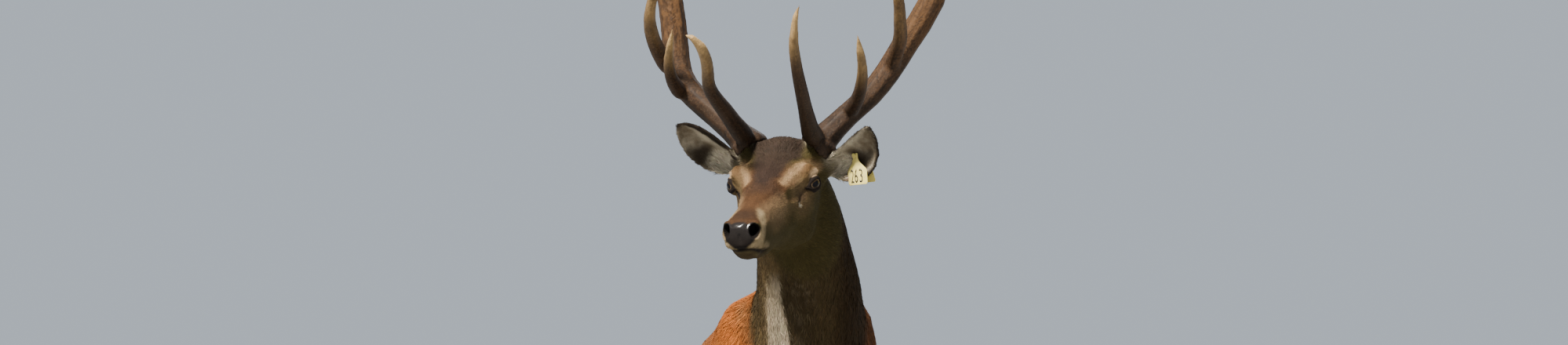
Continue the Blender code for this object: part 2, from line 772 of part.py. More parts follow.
TAG_SHARE = 0.48  # the pin's place along the left ear
TAG_TURN = -0.08  # and across it, towards its upper edge
TAG_TWIST = math.radians(-18)
TAG_LEVELLED = 0.3  # share of the ear's slope that the hanging flags keep
TAG_THICKNESS = 0.0013
TAG_SWING = math.radians(8)  # each flag stands off at its foot
TAG_OUTLINE = (
    # half width and height, from the crest of the neck down to the foot of the flag
    (0.0030, 0.0075),
    (0.0068, 0.0035),
    (0.0068, -0.0060),
    (0.0105, -0.0135),
    (0.0218, -0.0245),
    (0.0250, -0.0285),
    (0.0250, -0.0525),
    (0.0222, -0.0560),
)


def flag(name, place, swing, home, material):
    """One stiff flag of the tag, hanging from the pin and swung out at its foot."""
    curve = bpy.data.curves.new(name, "CURVE")
    curve.dimensions = "2D"
    curve.fill_mode = "BOTH"
    curve.extrude = TAG_THICKNESS / 2
    outline = [(width, height) for width, height in TAG_OUTLINE]
    outline += [(-width, height) for width, height in reversed(TAG_OUTLINE)]
    spline = curve.splines.new("POLY")
    spline.points.add(len(outline) - 1)
    for point, (width, height) in zip(spline.points, outline):
        point.co = (width, height, 0, 1)
    spline.use_cyclic_u = True
    shape = bpy.data.objects.new(name + "_outline", curve)
    home.objects.link(shape)
    bm = bmesh.new()
    bm.from_mesh(evaluated_mesh(shape))
    bpy.data.objects.remove(shape, do_unlink=True)
    bmesh.ops.remove_doubles(bm, verts=bm.verts, dist=0.00005)
    bmesh.ops.transform(bm, matrix=place @ Matrix.Rotation(swing, 4, "X"), verts=bm.verts)
    return object_from(bm, name, home, material)


def tag_frame():
    """The pin's place on the ear and the way it points: x along the flag, y up it, z out of its face."""
    place = ear_point("left", TAG_SHARE, TAG_TURN)
    ahead = ear_point("left", TAG_SHARE + 0.05, TAG_TURN) - place
    aside = ear_point("left", TAG_SHARE, TAG_TURN + 0.1) - place
    out = ahead.cross(aside).normalized()
    if out.dot(ear_lines("left")[3]) < 0:
        out = -out
    out = Matrix.Rotation(TAG_TWIST, 3, "Z") @ out
    out = Vector((out.x, out.y, out.z * TAG_LEVELLED)).normalized()
    up = Vector((0, 0, 1))
    up = (up - out * up.dot(out)).normalized()
    along = up.cross(out)
    turned = Matrix((along, up, out)).transposed().to_4x4()
    return Matrix.Translation(place) @ turned


def rod_between(first, second, radius, name, home, sides=8):
    bm = bmesh.new()
    axis = second - first
    turn = axis.to_track_quat("Z", "Y").to_matrix().to_4x4()
    place = Matrix.Translation((first + second) / 2) @ turn
    bmesh.ops.create_cone(
        bm, cap_ends=True, segments=sides, radius1=radius, radius2=radius, depth=axis.length, matrix=place
    )
    return object_from(bm, name, home)


def ear_tag(ear_piece, home, helpers, material):
    """Both flags and the pin that holds them through the ear, which gets a hole and a slot for them."""
    frame = tag_frame()
    before = frame @ Matrix.Translation((0, 0, 0.0055))
    behind = frame @ Matrix.Translation((0, 0, -0.0055))
    front = flag("tag_front", before, -TAG_SWING, home, material)
    back = flag("tag_back", behind, TAG_SWING, home, material)
    root = frame @ Vector((0, 0, -0.0065))
    tip = frame @ Vector((0, 0, 0.0095))
    pin = rod_between(root, frame @ Vector((0, 0, 0.0085)), 0.0026, "pin", helpers)
    button = rod_between(frame @ Vector((0, 0, 0.0070)), tip, 0.0048, "button", helpers)
    cut(pin, button, "UNION")
    cut(back, pin, "UNION")
    seat(front, back, helpers)
    for piece in (front, back):
        cut(ear_piece, swollen(piece, helpers, 0.0006))
    keep_largest(ear_piece)
    keep_largest(front)


# Casting the flesh and parting it


def melt(masses, home):
    """Joins all the masses into one closed body."""
    bm = bmesh.new()
    for mass in masses:
        bm.from_mesh(mass.data)
        bpy.data.objects.remove(mass, do_unlink=True)
    flesh = object_from(bm, "flesh", home)
    remesh = flesh.modifiers.new("melt", "REMESH")
    remesh.mode = "VOXEL"
    remesh.voxel_size = CAST_VOXEL
    settle(flesh)
    return flesh


def weigh(flesh, name, measure):
    """A vertex group on the flesh, its weights given by a measure of each place."""
    group = flesh.vertex_groups.new(name=name)
    for vertex in flesh.data.vertices:
        weight = measure(vertex.co)
        if weight > 0.01:
            group.add([vertex.index], min(1.0, weight), "REPLACE")
    return group


def ramp(value, low, high):
    """Nought below low, one above high, and smooth between."""
    share = min(1.0, max(0.0, (value - low) / (high - low)))
    return share * share * (3 - 2 * share)


def closeness_to_face(place):
    """One on the head, nought on the body."""
    local = HEAD_FRAME.inverted() @ place
    return ramp(-local.y, -0.20, -0.12) * ramp(local.z, -0.20, -0.13)


def softness(place):
    """How far the body is smoothed: most where the limbs and the neck join the trunk."""
    body = 1 - closeness_to_face(place)
    tail = ramp(place.y, 0.67, 0.71)
    return body * (1 - 0.95 * tail) * (0.03 + 0.97 * ramp(place.z, 0.50, 0.76))


def relax(flesh, group, factor, rounds):
    smooth = flesh.modifiers.new("relax", "SMOOTH")
    smooth.factor = factor
    smooth.iterations = rounds
    if group:
        smooth.vertex_group = group
    settle(flesh)


DENTS = (
    # in the head's frame, one side given: place, reach forward, across and up, and the push
    ((0.034, 0.070, -0.006), (0.026, 0.020, 0.022), (0.0, -0.0070, 0.0)),
    ((-0.052, 0.062, 0.032), (0.040, 0.026, 0.024), (0.0, -0.0060, -0.002)),
    ((0.085, 0.052, -0.042), (0.050, 0.030, 0.022), (0.0, -0.0050, 0.0)),
    ((0.185, 0.039, -0.092), (0.050, 0.022, 0.008), (0.0, -0.0045, 0.0)),
    ((0.000, 0.050, -0.120), (0.070, 0.022, 0.022), (0.0, 0.0, 0.004)),
    ((0.020, 0.022, 0.047), (0.060, 0.028, 0.018), (0.0, 0.0, -0.003)),
    ((0.262, 0.024, -0.038), (0.010, 0.009, 0.007), (-0.010, 0.001, 0.0)),
)


def dent(flesh, centre, reach, push):
    """Moves what lies within reach of a place, most at its middle."""
    count = len(flesh.data.vertices)
    places = np.zeros(count * 3)
    flesh.data.vertices.foreach_get("co", places)
    places = places.reshape(-1, 3)
    turn = np.array(HEAD_FRAME.to_3x3())
    local = (places - np.array(HEAD_FRAME.translation)) @ turn
    middle = np.array(spot(*centre))
    wide = np.array((reach[1], reach[0], reach[2]))
    far = (((local - middle) / wide) ** 2).sum(axis=1)
    share = np.clip(1 - far, 0, 1) ** 2
    places += share[:, None] * (turn @ np.array(spot(*push)))
    flesh.data.vertices.foreach_set("co", places.ravel())
    flesh.data.update()


def thin(flesh):
    """Fewer faces, with more of them kept on the head."""
    weigh(flesh, "body", lambda place: 1 - 0.97 * closeness_to_face(place))
    fewer = flesh.modifiers.new("fewer", "DECIMATE")
    fewer.ratio = FLESH_TRIANGLES / (2 * len(flesh.data.polygons))
    fewer.vertex_group = "body"
    fewer.vertex_group_factor = DETAIL_KEPT
    fewer.use_collapse_triangulate = True
    settle(flesh)
    flesh.vertex_groups.clear()


DETAIL_KEPT = 0.05


def zone(low, high, home, pitch=0.0):
    """A thin-walled box; what lies inside it is parted from what lies outside."""
    bm = bmesh.new()
    middle = (Vector(low) + Vector(high)) / 2
    size = Vector(high) - Vector(low)
    turn = Matrix.Rotation(pitch, 4, "X")
    block = Matrix.Translation(middle) @ turn @ Matrix.Diagonal((*size, 1))
    bmesh.ops.create_cube(bm, size=1.0, matrix=block)
    box = object_from(bm, "zone", home)
    wall = box.modifiers.new("wall", "SOLIDIFY")
    wall.thickness = GAP
    settle(box)
    return box


def slab(first, second, width, home):
    """A thin upright sheet through two places, parting what lies before it from what lies behind."""
    bm = bmesh.new()
    along = (second - first).normalized()
    across = Vector((1, 0, 0)) if abs(along.x) < 0.5 else Vector((0, 1, 0))
    through = along.cross(across).normalized()
    across = through.cross(along).normalized()
    turn = Matrix((across, along, through)).transposed().to_4x4()
    size = Matrix.Diagonal((width, (second - first).length, GAP, 1))
    bmesh.ops.create_cube(bm, size=1.0, matrix=Matrix.Translation((first + second) / 2) @ turn @ size)
    return object_from(bm, "slab", home)


def part_flesh(flesh, home, material):
    """Parts the cast by thin cuts and names what falls out."""
    cut(flesh, slab(on_head(-0.195, 0, 0.13), on_head(-0.045, 0, -0.21), 0.40, home))
    cut(flesh, slab(spot(0.305, 0, 1.33), spot(0.695, 0, 0.80), 0.60, home))
    cut(flesh, zone((-0.06, 0.708, 0.88), (0.06, 0.83, 1.145), home))
    for sign in SIDES.values():
        front = sorted((sign * 0.062, sign * 0.42))
        hind = sorted((sign * 0.050, sign * 0.42))
        cut(flesh, zone((front[0], -0.64, -0.1), (front[1], -0.215, 0.80), home))
        cut(flesh, zone((hind[0], 0.300, -0.1), (hind[1], 0.90, 0.87), home))
    bm = bmesh.new()
    bm.from_mesh(flesh.data)
    pieces = {}
    for body in islands(bm):
        if len(body) > 24:
            keep_body(body, pieces, home, material)
    bm.free()
    bpy.data.objects.remove(flesh, do_unlink=True)
    return pieces


def keep_body(body, pieces, home, material):
    places = {vert: vert.co.copy() for face in body for vert in face.verts}
    middle = sum(places.values(), Vector()) / len(places)
    lowest = min(place.z for place in places.values())
    name = flesh_name(middle, lowest)
    pieces[name] = body_object(body, name, home, material)


def flesh_name(middle, lowest):
    forward = -middle.y
    if lowest < 0.2:
        end = "front" if forward > 0 else "hind"
        return f"leg_{end}_" + ("left" if middle.x > 0 else "right")
    if (HEAD_FRAME.inverted() @ middle).z > -0.10 and forward > 0.75:
        return "head"
    if forward > 0.45:
        return "neck"
    return "tail" if forward < -0.66 else "trunk"


def flesh_masses(home):
    masses = [trunk_mass(home), neck_mass(home), head_mass(home), tail_mass(home)]
    masses += face_masses(home) + shoulder_masses(home)
    for side, sign in SIDES.items():
        masses.append(front_leg_mass(side, STEPS[f"front_{side}"], home))
        masses += hind_leg_mass(side, STEPS[f"hind_{side}"], home)
        masses += dewclaw_masses(f"front_{side}", spot(*foot_place(f"front_{side}"), 0), home)
        masses += dewclaw_masses(f"hind_{side}", spot(*foot_place(f"hind_{side}"), 0), home)
    return masses


def rest_on_origin(pieces):
    """Moves every piece so that the middle of the whole box's foot is the origin."""
    corners = [piece.matrix_world @ vertex.co for piece in pieces for vertex in piece.data.vertices]
    low = Vector([min(corner[i] for corner in corners) for i in range(3)])
    high = Vector([max(corner[i] for corner in corners) for i in range(3)])
    shift = Vector((-(low.x + high.x) / 2, -(low.y + high.y) / 2, -low.z))
    for piece in pieces:
        piece.data.transform(Matrix.Translation(shift))


def main():
    clear_scene()
    home = collection("red_deer_stag")
    helpers = collection("cutters")
    coat = finish("coat", COAT, 0.75)
    horn = finish("horn", HORN, 0.45)
    bone = finish("antler", ANTLER, 0.55)
    wet = finish("eye", EYE, 0.08)
    plastic = finish("tag", TAG, 0.40)

    flesh = melt(flesh_masses(helpers), helpers)
    weigh(flesh, "soft", softness)
    relax(flesh, "soft", 0.7, 180)
    relax(flesh, None, 0.5, 3)
    for centre, reach, push in DENTS:
        for sign in SIDES.values():
            dent(flesh, (centre[0], sign * centre[1], centre[2]), reach, (push[0], sign * push[1], push[2]))
    relax(flesh, None, 0.5, 5)
    thin(flesh)

    antlers = {}
    for side, sign in SIDES.items():
        socket = (EYE_AHEAD, sign * EYE_SPACING / 2, EYE_RISE)
        eye = ellipsoid(socket, (EYE_RADIUS,) * 3, f"eye_{side}", home, HEAD_FRAME)
        eye.data.materials.append(wet)
        eye.data.shade_smooth()
        seat(flesh, eye, helpers)
        antlers[side] = antler(side, home, helpers, bone)
        for made in antlers[side].values():
            seat(made, flesh, helpers, FORK_GAP)
            keep_largest(made)
    for foot in FEET:
        for half, sign in {"outer": 1, "inner": -1}.items():
            outward = sign if foot.endswith("left") else -sign
            seat(flesh, hoof_claw(foot, half, outward, home, horn), helpers)

    ears = {side: ear(side, home, coat) for side in SIDES}
    for side, piece in ears.items():
        seat(piece, flesh, helpers)
        seat(piece, antlers[side]["beam_lower"], helpers, FORK_GAP)
        keep_largest(piece)
    ear_tag(ears["left"], home, helpers, plastic)

    part_flesh(flesh, home, coat)
    rest_on_origin(list(home.objects))


main()
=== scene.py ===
"""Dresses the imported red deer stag: one skin, a coat of mesh tufts, antlers, eyes, hooves and ear tag."""

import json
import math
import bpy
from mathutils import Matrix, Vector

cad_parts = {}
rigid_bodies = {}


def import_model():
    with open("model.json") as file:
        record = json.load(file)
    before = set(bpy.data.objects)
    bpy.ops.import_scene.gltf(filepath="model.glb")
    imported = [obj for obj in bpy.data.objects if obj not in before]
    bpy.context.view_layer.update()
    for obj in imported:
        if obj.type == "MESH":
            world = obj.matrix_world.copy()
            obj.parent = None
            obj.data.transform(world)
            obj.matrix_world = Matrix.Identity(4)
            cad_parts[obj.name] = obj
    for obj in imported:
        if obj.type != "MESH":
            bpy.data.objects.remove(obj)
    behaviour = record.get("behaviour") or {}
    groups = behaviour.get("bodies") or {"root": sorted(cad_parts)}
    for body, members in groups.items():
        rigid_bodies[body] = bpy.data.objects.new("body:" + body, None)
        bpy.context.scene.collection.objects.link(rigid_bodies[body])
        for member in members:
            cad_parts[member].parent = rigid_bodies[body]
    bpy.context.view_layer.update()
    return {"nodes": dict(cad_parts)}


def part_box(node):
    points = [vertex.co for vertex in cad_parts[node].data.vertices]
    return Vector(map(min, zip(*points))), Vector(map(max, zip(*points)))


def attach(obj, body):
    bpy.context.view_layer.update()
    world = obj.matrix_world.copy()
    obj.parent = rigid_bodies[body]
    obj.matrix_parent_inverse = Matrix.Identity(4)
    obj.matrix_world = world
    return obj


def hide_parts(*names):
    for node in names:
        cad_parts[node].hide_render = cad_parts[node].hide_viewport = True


bl_info = {
    "name": "Red Deer Stag",
    "version": (1, 0, 0),
    "blender": (4, 5, 0),
    "location": "3D View > Sidebar > Stag",
    "description": "Makes the skin, coat, antlers, eyes, hooves and ear tag of a life-size red deer stag",
    "category": "Add Mesh",
}

import bmesh
import bpy
import numpy as np
from mathutils import Matrix, Vector, noise
from mathutils.bvhtree import BVHTree

for leftover in list(bpy.data.objects):
    bpy.data.objects.remove(leftover, do_unlink=True)

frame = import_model()
SIDES = {"left": 1.0, "right": -1.0}
BODY_MIDDLE = 0.068  # x of the body's middle plane; the origin is under the middle of the antlers
COAT_PARTING = 0.066  # x of the plane that parts the coat's left and right pieces
NOISE_ROUGHNESS = 0.55

# The head's own directions, which the face, the eyes and the camera are placed by

HEAD_TURN = Matrix.Rotation(math.radians(-19.9), 3, "Z") @ Matrix.Rotation(math.radians(14), 3, "X")
EYE_RISE = 0.005


def node_middle(node):
    """The middle of a CAD node's box."""
    low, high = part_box(node)
    return (Vector(low) + Vector(high)) / 2


def node_size(node):
    """The size of a CAD node's box."""
    low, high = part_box(node)
    return Vector(high) - Vector(low)


EYE_CENTRES = {side: node_middle(f"eye_{side}") for side in SIDES}
EYE_RADIUS = min(node_size("eye_left")) / 2
BETWEEN_EYES = (EYE_CENTRES["left"] + EYE_CENTRES["right"]) / 2 - HEAD_TURN @ Vector((0, 0, EYE_RISE))
EYE_SPACING = (EYE_CENTRES["left"] - EYE_CENTRES["right"]).length
HEAD_AXES = np.array(HEAD_TURN)


def to_head(places):
    """World places as head measures: ahead of the eyes, to the stag's left, and up."""
    turned = (np.asarray(places) - np.array(BETWEEN_EYES)) @ HEAD_AXES
    return np.stack((-turned[:, 1], turned[:, 0], turned[:, 2]), axis=1)


def turn_to_head(ways):
    """World directions in head measures."""
    return to_head(np.asarray(ways) + np.array(BETWEEN_EYES))


def from_head(measures):
    """Head measures back as world places."""
    turned = np.stack((measures[:, 1], -measures[:, 0], measures[:, 2]), axis=1)
    return turned @ HEAD_AXES.T + np.array(BETWEEN_EYES)


def head_way(ahead, left, up):
    """A direction given in head measures, as a world direction."""
    return np.array(HEAD_TURN @ Vector((left, -ahead, up)))


# Settings that a user would change


def paint(name, description, *colour):
    """A colour that a user may change."""
    return bpy.props.FloatVectorProperty(
        name=name, description=description, subtype="COLOR", default=colour
    )


def span(name, description, default, low, high):
    """A length in metres that a user may change."""
    return bpy.props.FloatProperty(
        name=name, description=description, subtype="DISTANCE", default=default, min=low, max=high
    )


class StagCoatSettings(bpy.types.PropertyGroup):
    """Colours and lengths of the coat"""

    body_red: paint("Body red", "Summer coat of flanks and back", 0.205, 0.057, 0.0105)
    # flank_brown is also the colour of the painted shade on the stag's left shoulder and withers
    flank_brown: paint("Flank brown", "Duller hair behind the shoulder", 0.104, 0.047, 0.0185)
    back_brown: paint("Back brown", "Line along the back", 0.070, 0.028, 0.010)
    belly_grey: paint("Belly grey", "Belly and inside of the legs", 0.140, 0.100, 0.062)
    rump_buff: paint("Rump buff", "Patch round the tail", 0.340, 0.220, 0.095)
    leg_brown: paint("Leg brown", "Lower legs", 0.080, 0.045, 0.0215)
    neck_brown: paint("Neck brown", "Sides of the neck", 0.046, 0.031, 0.0130)
    throat_pale: paint("Throat pale", "Stripe down the throat", 0.320, 0.265, 0.185)
    # cheek_brown: the brown of the cheeks and jaw, made darker as painted shade
    cheek_brown: paint("Cheek brown", "Cheeks and jaw", 0.035, 0.0275, 0.0090)
    forehead_dark: paint("Forehead dark", "Forehead and crown", 0.0185, 0.0118, 0.0090)
    brow_pale: paint("Brow pale", "Ridge over the eyes", 0.182, 0.118, 0.063)
    bridge_brown: paint("Bridge brown", "Bridge of the nose", 0.046, 0.0225, 0.0100)
    muzzle_dark: paint("Muzzle dark", "Top of the muzzle", 0.024, 0.0135, 0.008)
    muzzle_pale: paint("Muzzle pale", "Ring behind the nostrils and the lips", 0.245, 0.185, 0.105)
    nose_black: paint("Nose black", "Bare nose", 0.0042, 0.0034, 0.0032)
    ear_dark: paint("Ear dark", "Rim and back of the ears", 0.017, 0.012, 0.009)
    ear_grey: paint("Ear grey", "Inside of the ears", 0.165, 0.132, 0.090)
    ear_white: paint("Ear white", "Long hair at the root of the ears", 0.500, 0.450, 0.345)
    body_hair: span("Body hair", "Length of a tuft on the flank", 0.0145, 0.004, 0.06)
    neck_hair: span("Neck hair", "Length of a tuft on the neck", 0.025, 0.004, 0.08)
    face_hair: span("Face hair", "Length of a tuft on the face", 0.0068, 0.002, 0.03)
    leg_hair: span("Leg hair", "Length of a tuft on the legs", 0.012, 0.002, 0.03)
    thickness: bpy.props.FloatProperty(
        name="Thickness",
        description="Share of the full number of tufts",
        subtype="FACTOR",
        default=1.0,
        min=0.05,
        max=1.0,
    )


class StagAntlerSettings(bpy.types.PropertyGroup):
    """Colours and relief of the antlers"""

    low_brown: paint("Low brown", "Bone near the head", 0.0150, 0.0072, 0.0030)
    mid_brown: paint("Middle brown", "Bone of the beams", 0.052, 0.0245, 0.0085)
    tip_tan: paint("Tip tan", "Polished tips", 0.290, 0.185, 0.076)
    groove: span("Groove depth", "Depth of the long grooves", 0.0011, 0, 0.004)
    pearl: span("Pearl height", "Height of the pearls by the burr", 0.0022, 0, 0.006)


class StagEyeSettings(bpy.types.PropertyGroup):
    """Colours of the eyes"""

    iris: paint("Iris", "Brown of the iris", 0.022, 0.014, 0.007)
    pupil: paint("Pupil", "Level pupil", 0.002, 0.002, 0.003)
    lid: paint("Lid", "Bare rim of the lids", 0.009, 0.007, 0.006)


class StagTagSettings(bpy.types.PropertyGroup):
    """The ear tag"""

    plastic: paint("Plastic", "Colour of the flags", 0.62, 0.52, 0.155)
    ink: paint("Ink", "Colour of the number", 0.035, 0.028, 0.018)
    number: bpy.props.StringProperty(
        name="Number", description="Plain number on the front flag", default="263"
    )
    fold: bpy.props.FloatProperty(
        name="Fold",
        description="Bend of the front flag along its crease",
        subtype="ANGLE",
        default=math.radians(20),
    )


class StagStageSettings(bpy.types.PropertyGroup):
    """Floor, lights and camera"""

    floor: paint("Floor", "Colour of the floor", 0.26, 0.26, 0.255)
    sky: paint("Backdrop", "Colour behind the stag", 0.62, 0.69, 0.78)
    distance: span("Camera distance", "Level distance from the eyes", 7.2, 1, 50)
    drop: span("Camera drop", "How far the camera is below the eyes", 0.60, -10, 10)
    focal: bpy.props.FloatProperty(
        name="Focal length", description="In millimetres", unit="CAMERA", default=87.48, min=10, max=400
    )


# Materials: socket arithmetic and node making


MIX_SHARE, MIX_FIRST, MIX_SECOND = 0, 6, 7  # sockets of a Mix node that mixes colours
MIX_COLOUR = 2  # and its output


class Wire:
    """A socket whose arithmetic adds Math nodes to its material."""

    def __init__(self, finish, socket):
        self.finish = finish
        self.socket = socket

    def math(self, operation, *terms):
        return self.finish.node("ShaderNodeMath", {"operation": operation}, *terms)

    def __add__(self, other):
        return self.math("ADD", self, other)

    def __sub__(self, other):
        return self.math("SUBTRACT", self, other)

    def __rsub__(self, other):
        return self.math("SUBTRACT", other, self)

    def __mul__(self, other):
        return self.math("MULTIPLY", self, other)

    def __pow__(self, other):
        return self.math("POWER", self, other)

    __radd__ = __add__
    __rmul__ = __mul__

    def between(self, low, high):
        """0 below low, 1 above high, and smooth in between."""
        settings = {"interpolation_type": "SMOOTHSTEP"}
        return self.finish.node("ShaderNodeMapRange", settings, self, low, high, 0.0, 1.0)


class Finish:
    """One procedural material on a Principled shader."""

    def __init__(self, name, **constants):
        self.material = bpy.data.materials.new(name)
        self.material.use_nodes = True
        self.tree = self.material.node_tree
        self.shader = self.tree.nodes["Principled BSDF"]
        for socket, value in constants.items():
            self.shader.inputs[socket.replace("_", " ")].default_value = value

    def node(self, kind, settings=None, *terms, output=0, sockets=None, **named):
        """Adds a node: its settings first, then its sockets by order, number or name. Returns one output."""
        made = self.tree.nodes.new(kind)
        for name, value in (settings or {}).items():
            setattr(made, name, value)
        for key, value in (*enumerate(terms), *(sockets or named).items()):
            if isinstance(value, Wire):
                self.tree.links.new(value.socket, made.inputs[key])
            else:
                made.inputs[key].default_value = value
        return Wire(self, made.outputs[output])

    def place(self):
        """Object coordinates."""
        return self.node("ShaderNodeTexCoord", output="Object")

    def parts(self, vector, *which):
        """The chosen parts of a vector: 0 for x, 1 for y, 2 for z."""
        return [self.node("ShaderNodeSeparateXYZ", None, vector, output=k) for k in which]

    def attribute(self, name, output="Color"):
        return self.node("ShaderNodeAttribute", {"attribute_name": name}, output=output)

    def noise(self, vector, scale, detail=3.0):
        return self.node(
            "ShaderNodeTexNoise", None, Vector=vector, Scale=scale, Detail=detail, Roughness=NOISE_ROUGHNESS
        )

    def mix(self, share, first, second, blend="MIX"):
        """Mixes two colours, each a colour or a Wire."""
        first, second = (paint if isinstance(paint, Wire) else (*paint, 1) for paint in (first, second))
        settings = {"data_type": "RGBA", "blend_type": blend}
        sockets = {MIX_SHARE: share, MIX_FIRST: first, MIX_SECOND: second}
        return self.node("ShaderNodeMix", settings, output=MIX_COLOUR, sockets=sockets)

    def feed(self, socket, wire):
        self.tree.links.new(wire.socket, self.shader.inputs[socket])

    def bump(self, height, strength, distance):
        bumped = self.node("ShaderNodeBump", None, Strength=strength, Distance=distance, Height=height)
        self.feed("Normal", bumped)


# Meshes as arrays


def read(items, field, width, kind=np.float64):
    """One field of a mesh's vertices, edges, triangles or layer as an array."""
    values = np.empty(len(items) * width, kind)
    items.foreach_get(field, values)
    return values.reshape(-1, width)


def places_of(mesh):
    return read(mesh.vertices, "co", 3)


def normals_of(mesh):
    mesh.update()
    return read(mesh.vertices, "normal", 3)


def edges_of(mesh):
    return read(mesh.edges, "vertices", 2, np.int64)


def place(mesh, places):
    mesh.vertices.foreach_set("co", places.astype(np.float32).ravel())
    mesh.update()


def store(mesh, name, values, kind="FLOAT_VECTOR"):
    """Writes an array as an attribute of the mesh's points."""
    layer = mesh.attributes.new(name, kind, "POINT")
    field = {"FLOAT": "value", "FLOAT_VECTOR": "vector", "FLOAT_COLOR": "color"}[kind]
    layer.data.foreach_set(field, np.ascontiguousarray(values, np.float32).ravel())


def store_colour(mesh, name, colour):
    """Writes colours without alpha as an attribute of the mesh's points."""
    opaque = np.ones((*colour.shape[:-1], 1))
    store(mesh, name, np.concatenate((colour, opaque), axis=-1), "FLOAT_COLOR")


def fetch(mesh, name, width, field="vector"):
    """Reads an attribute of the mesh as an array."""
    return read(mesh.attributes[name].data, field, width, np.float32).astype(np.float64)


def fetch_share(mesh, name):
    """Reads an attribute that is one number at each point."""
    return fetch(mesh, name, 1, "value")[:, 0]


def unit(vectors):
    return vectors / np.maximum(np.linalg.norm(vectors, axis=1, keepdims=True), 1e-12)


def smooth_step(values, low, high):
    share = np.clip((values - low) / (high - low), 0, 1)
    return share * share * (3 - 2 * share)


def neighbour_mean(values, edges):
    """Each vertex's mean over its neighbours."""
    count = len(values)
    first, second = edges[:, 0], edges[:, 1]
    valence = np.bincount(first, minlength=count) + np.bincount(second, minlength=count)
    total = np.empty_like(values)
    for k in range(values.shape[1]):
        total[:, k] = np.bincount(first, values[second, k], count)
        total[:, k] += np.bincount(second, values[first, k], count)
    return total / np.maximum(valence, 1)[:, None]


def spread(values, edges, steps):
    """Blurs values over the mesh."""
    for _ in range(steps):
        values = 0.5 * values + 0.5 * neighbour_mean(values, edges)
    return values


def fair(places, edges, steps, share=1.0):
    """Smooths a surface. The second pull of each step is outwards, so that nothing shrinks."""
    share = np.asarray(share).reshape(-1, 1)
    for _ in range(steps):
        for pull in (0.50, -0.52):
            places = places + pull * share * (neighbour_mean(places, edges) - places)
    return places


def ripple(places, scale, seed=0.0):
    """Smooth noise from -1 to 1 at each place."""
    return np.array([noise.noise(Vector(p) * scale + Vector((seed, seed, seed))) for p in places])


# Pieces


def cad_shape(nodes, swell=0.0):
    """The named CAD nodes as one bmesh, swollen a little so that thin gaps close."""
    shape = bmesh.new()
    for node in nodes:
        shape.from_mesh(frame["nodes"][node].data)
    bmesh.ops.remove_doubles(shape, verts=shape.verts, dist=0.00001)
    shape.normal_update()
    for vertex in shape.verts:
        vertex.co += vertex.normal * swell
    return shape


def mesh_of(shape, name):
    """A bmesh made into a mesh; a mesh is left as it is."""
    if isinstance(shape, bpy.types.Mesh):
        return shape
    mesh = bpy.data.meshes.new(name)
    shape.to_mesh(mesh)
    shape.free()
    return mesh


def linked(name, data):
    """A new object in the scene."""
    made = bpy.data.objects.new(name, data)
    bpy.context.scene.collection.objects.link(made)
    return made


def new_piece(name, shape, finish, stands_for=()):
    """Links a mesh as a piece that rides on the stag and stands for its CAD nodes."""
    mesh = mesh_of(shape, name)
    mesh.name = name
    mesh.materials.clear()
    mesh.materials.append(finish)
    mesh.shade_smooth()
    made = linked(name, mesh)
    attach(made, "root")
    if stands_for:
        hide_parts(*stands_for)
    return made


def through_modifier(shape, kind, weights=None, **settings):
    """A shape after one modifier, as a new mesh. Weights from 0 to 1 become its vertex group."""
    mesh = mesh_of(shape, "work")
    worker = linked("work", mesh)
    modifier = worker.modifiers.new("work", kind)
    if weights is not None:
        group = worker.vertex_groups.new(name="work")
        for step in range(1, 11):
            members = np.nonzero(np.round(weights * 10) == step)[0]
            group.add(members.tolist(), step / 10, "REPLACE")
        settings["vertex_group"] = "work"
    for name, value in settings.items():
        setattr(modifier, name, value)
    made = bpy.data.meshes.new_from_object(worker.evaluated_get(bpy.context.evaluated_depsgraph_get()))
    bpy.data.objects.remove(worker)
    bpy.data.meshes.remove(mesh)
    return made


def largest_part(mesh):
    """Drops every loose part but the largest."""
    shape = bmesh.new()
    shape.from_mesh(mesh)
    edges = edges_of(mesh)
    label = np.arange(len(shape.verts))
    while True:
        low = np.minimum(label[edges[:, 0]], label[edges[:, 1]])
        before = label.copy()
        np.minimum.at(label, edges[:, 0], low)
        np.minimum.at(label, edges[:, 1], low)
        label = label[label]
        if (label == before).all():
            break
    names, counts = np.unique(label, return_counts=True)
    if len(names) > 1:
        keep = names[counts.argmax()]
        spare = [vertex for vertex, mark in zip(shape.verts, label) if mark != keep]
        bmesh.ops.delete(shape, geom=spare, context="VERTS")
        shape.to_mesh(mesh)
    shape.free()


# Skin

FLESH = ["head", "neck", "trunk", "tail", "ear_left", "ear_right"]
FLESH += [f"leg_{end}_{side}" for end in ("front", "hind") for side in SIDES]
PARTS = ("head", "neck", "trunk", "tail", "ear", "leg")
FACE_CENTRE = (0.06, 0.0, 0.0)  # ahead, left, up of the eyes' middle
FACE_REACH = 0.27  # the skin stays finest this near to it
EYE_LOOKS = unit(np.array([[0.46, 0.88, 0.06]]))[0]  # ahead, outwards, up
EYE_GAZE = (0.62, 0.78, 0.04)  # the iris faces a little further ahead than the lids do
SLIT_SLOPE = 0.24  # the slit between the lids drops towards the nose
SLIT_HALF = 0.83  # half the slit's length as seen from the eyeball's centre, in radians
LID_OPEN = (0.45, 0.43)  # how far the upper and the lower lid stand open at the middle
MOUTH = (  # ahead and up along the line between the lips, from its corner to the front
    (0.160, -0.0925),
    (0.176, -0.0915),
    (0.190, -0.0905),
    (0.215, -0.085),
    (0.240, -0.079),
    (0.262, -0.0745),
    (0.280, -0.074),
)
EYE_SPOT = np.array((0.0, EYE_SPACING / 2, EYE_RISE))  # the left eyeball's centre in head measures
SKIN_GRID = 0.004
LID_GAP = 0.0004  # between the eyeball and the lids' inner side


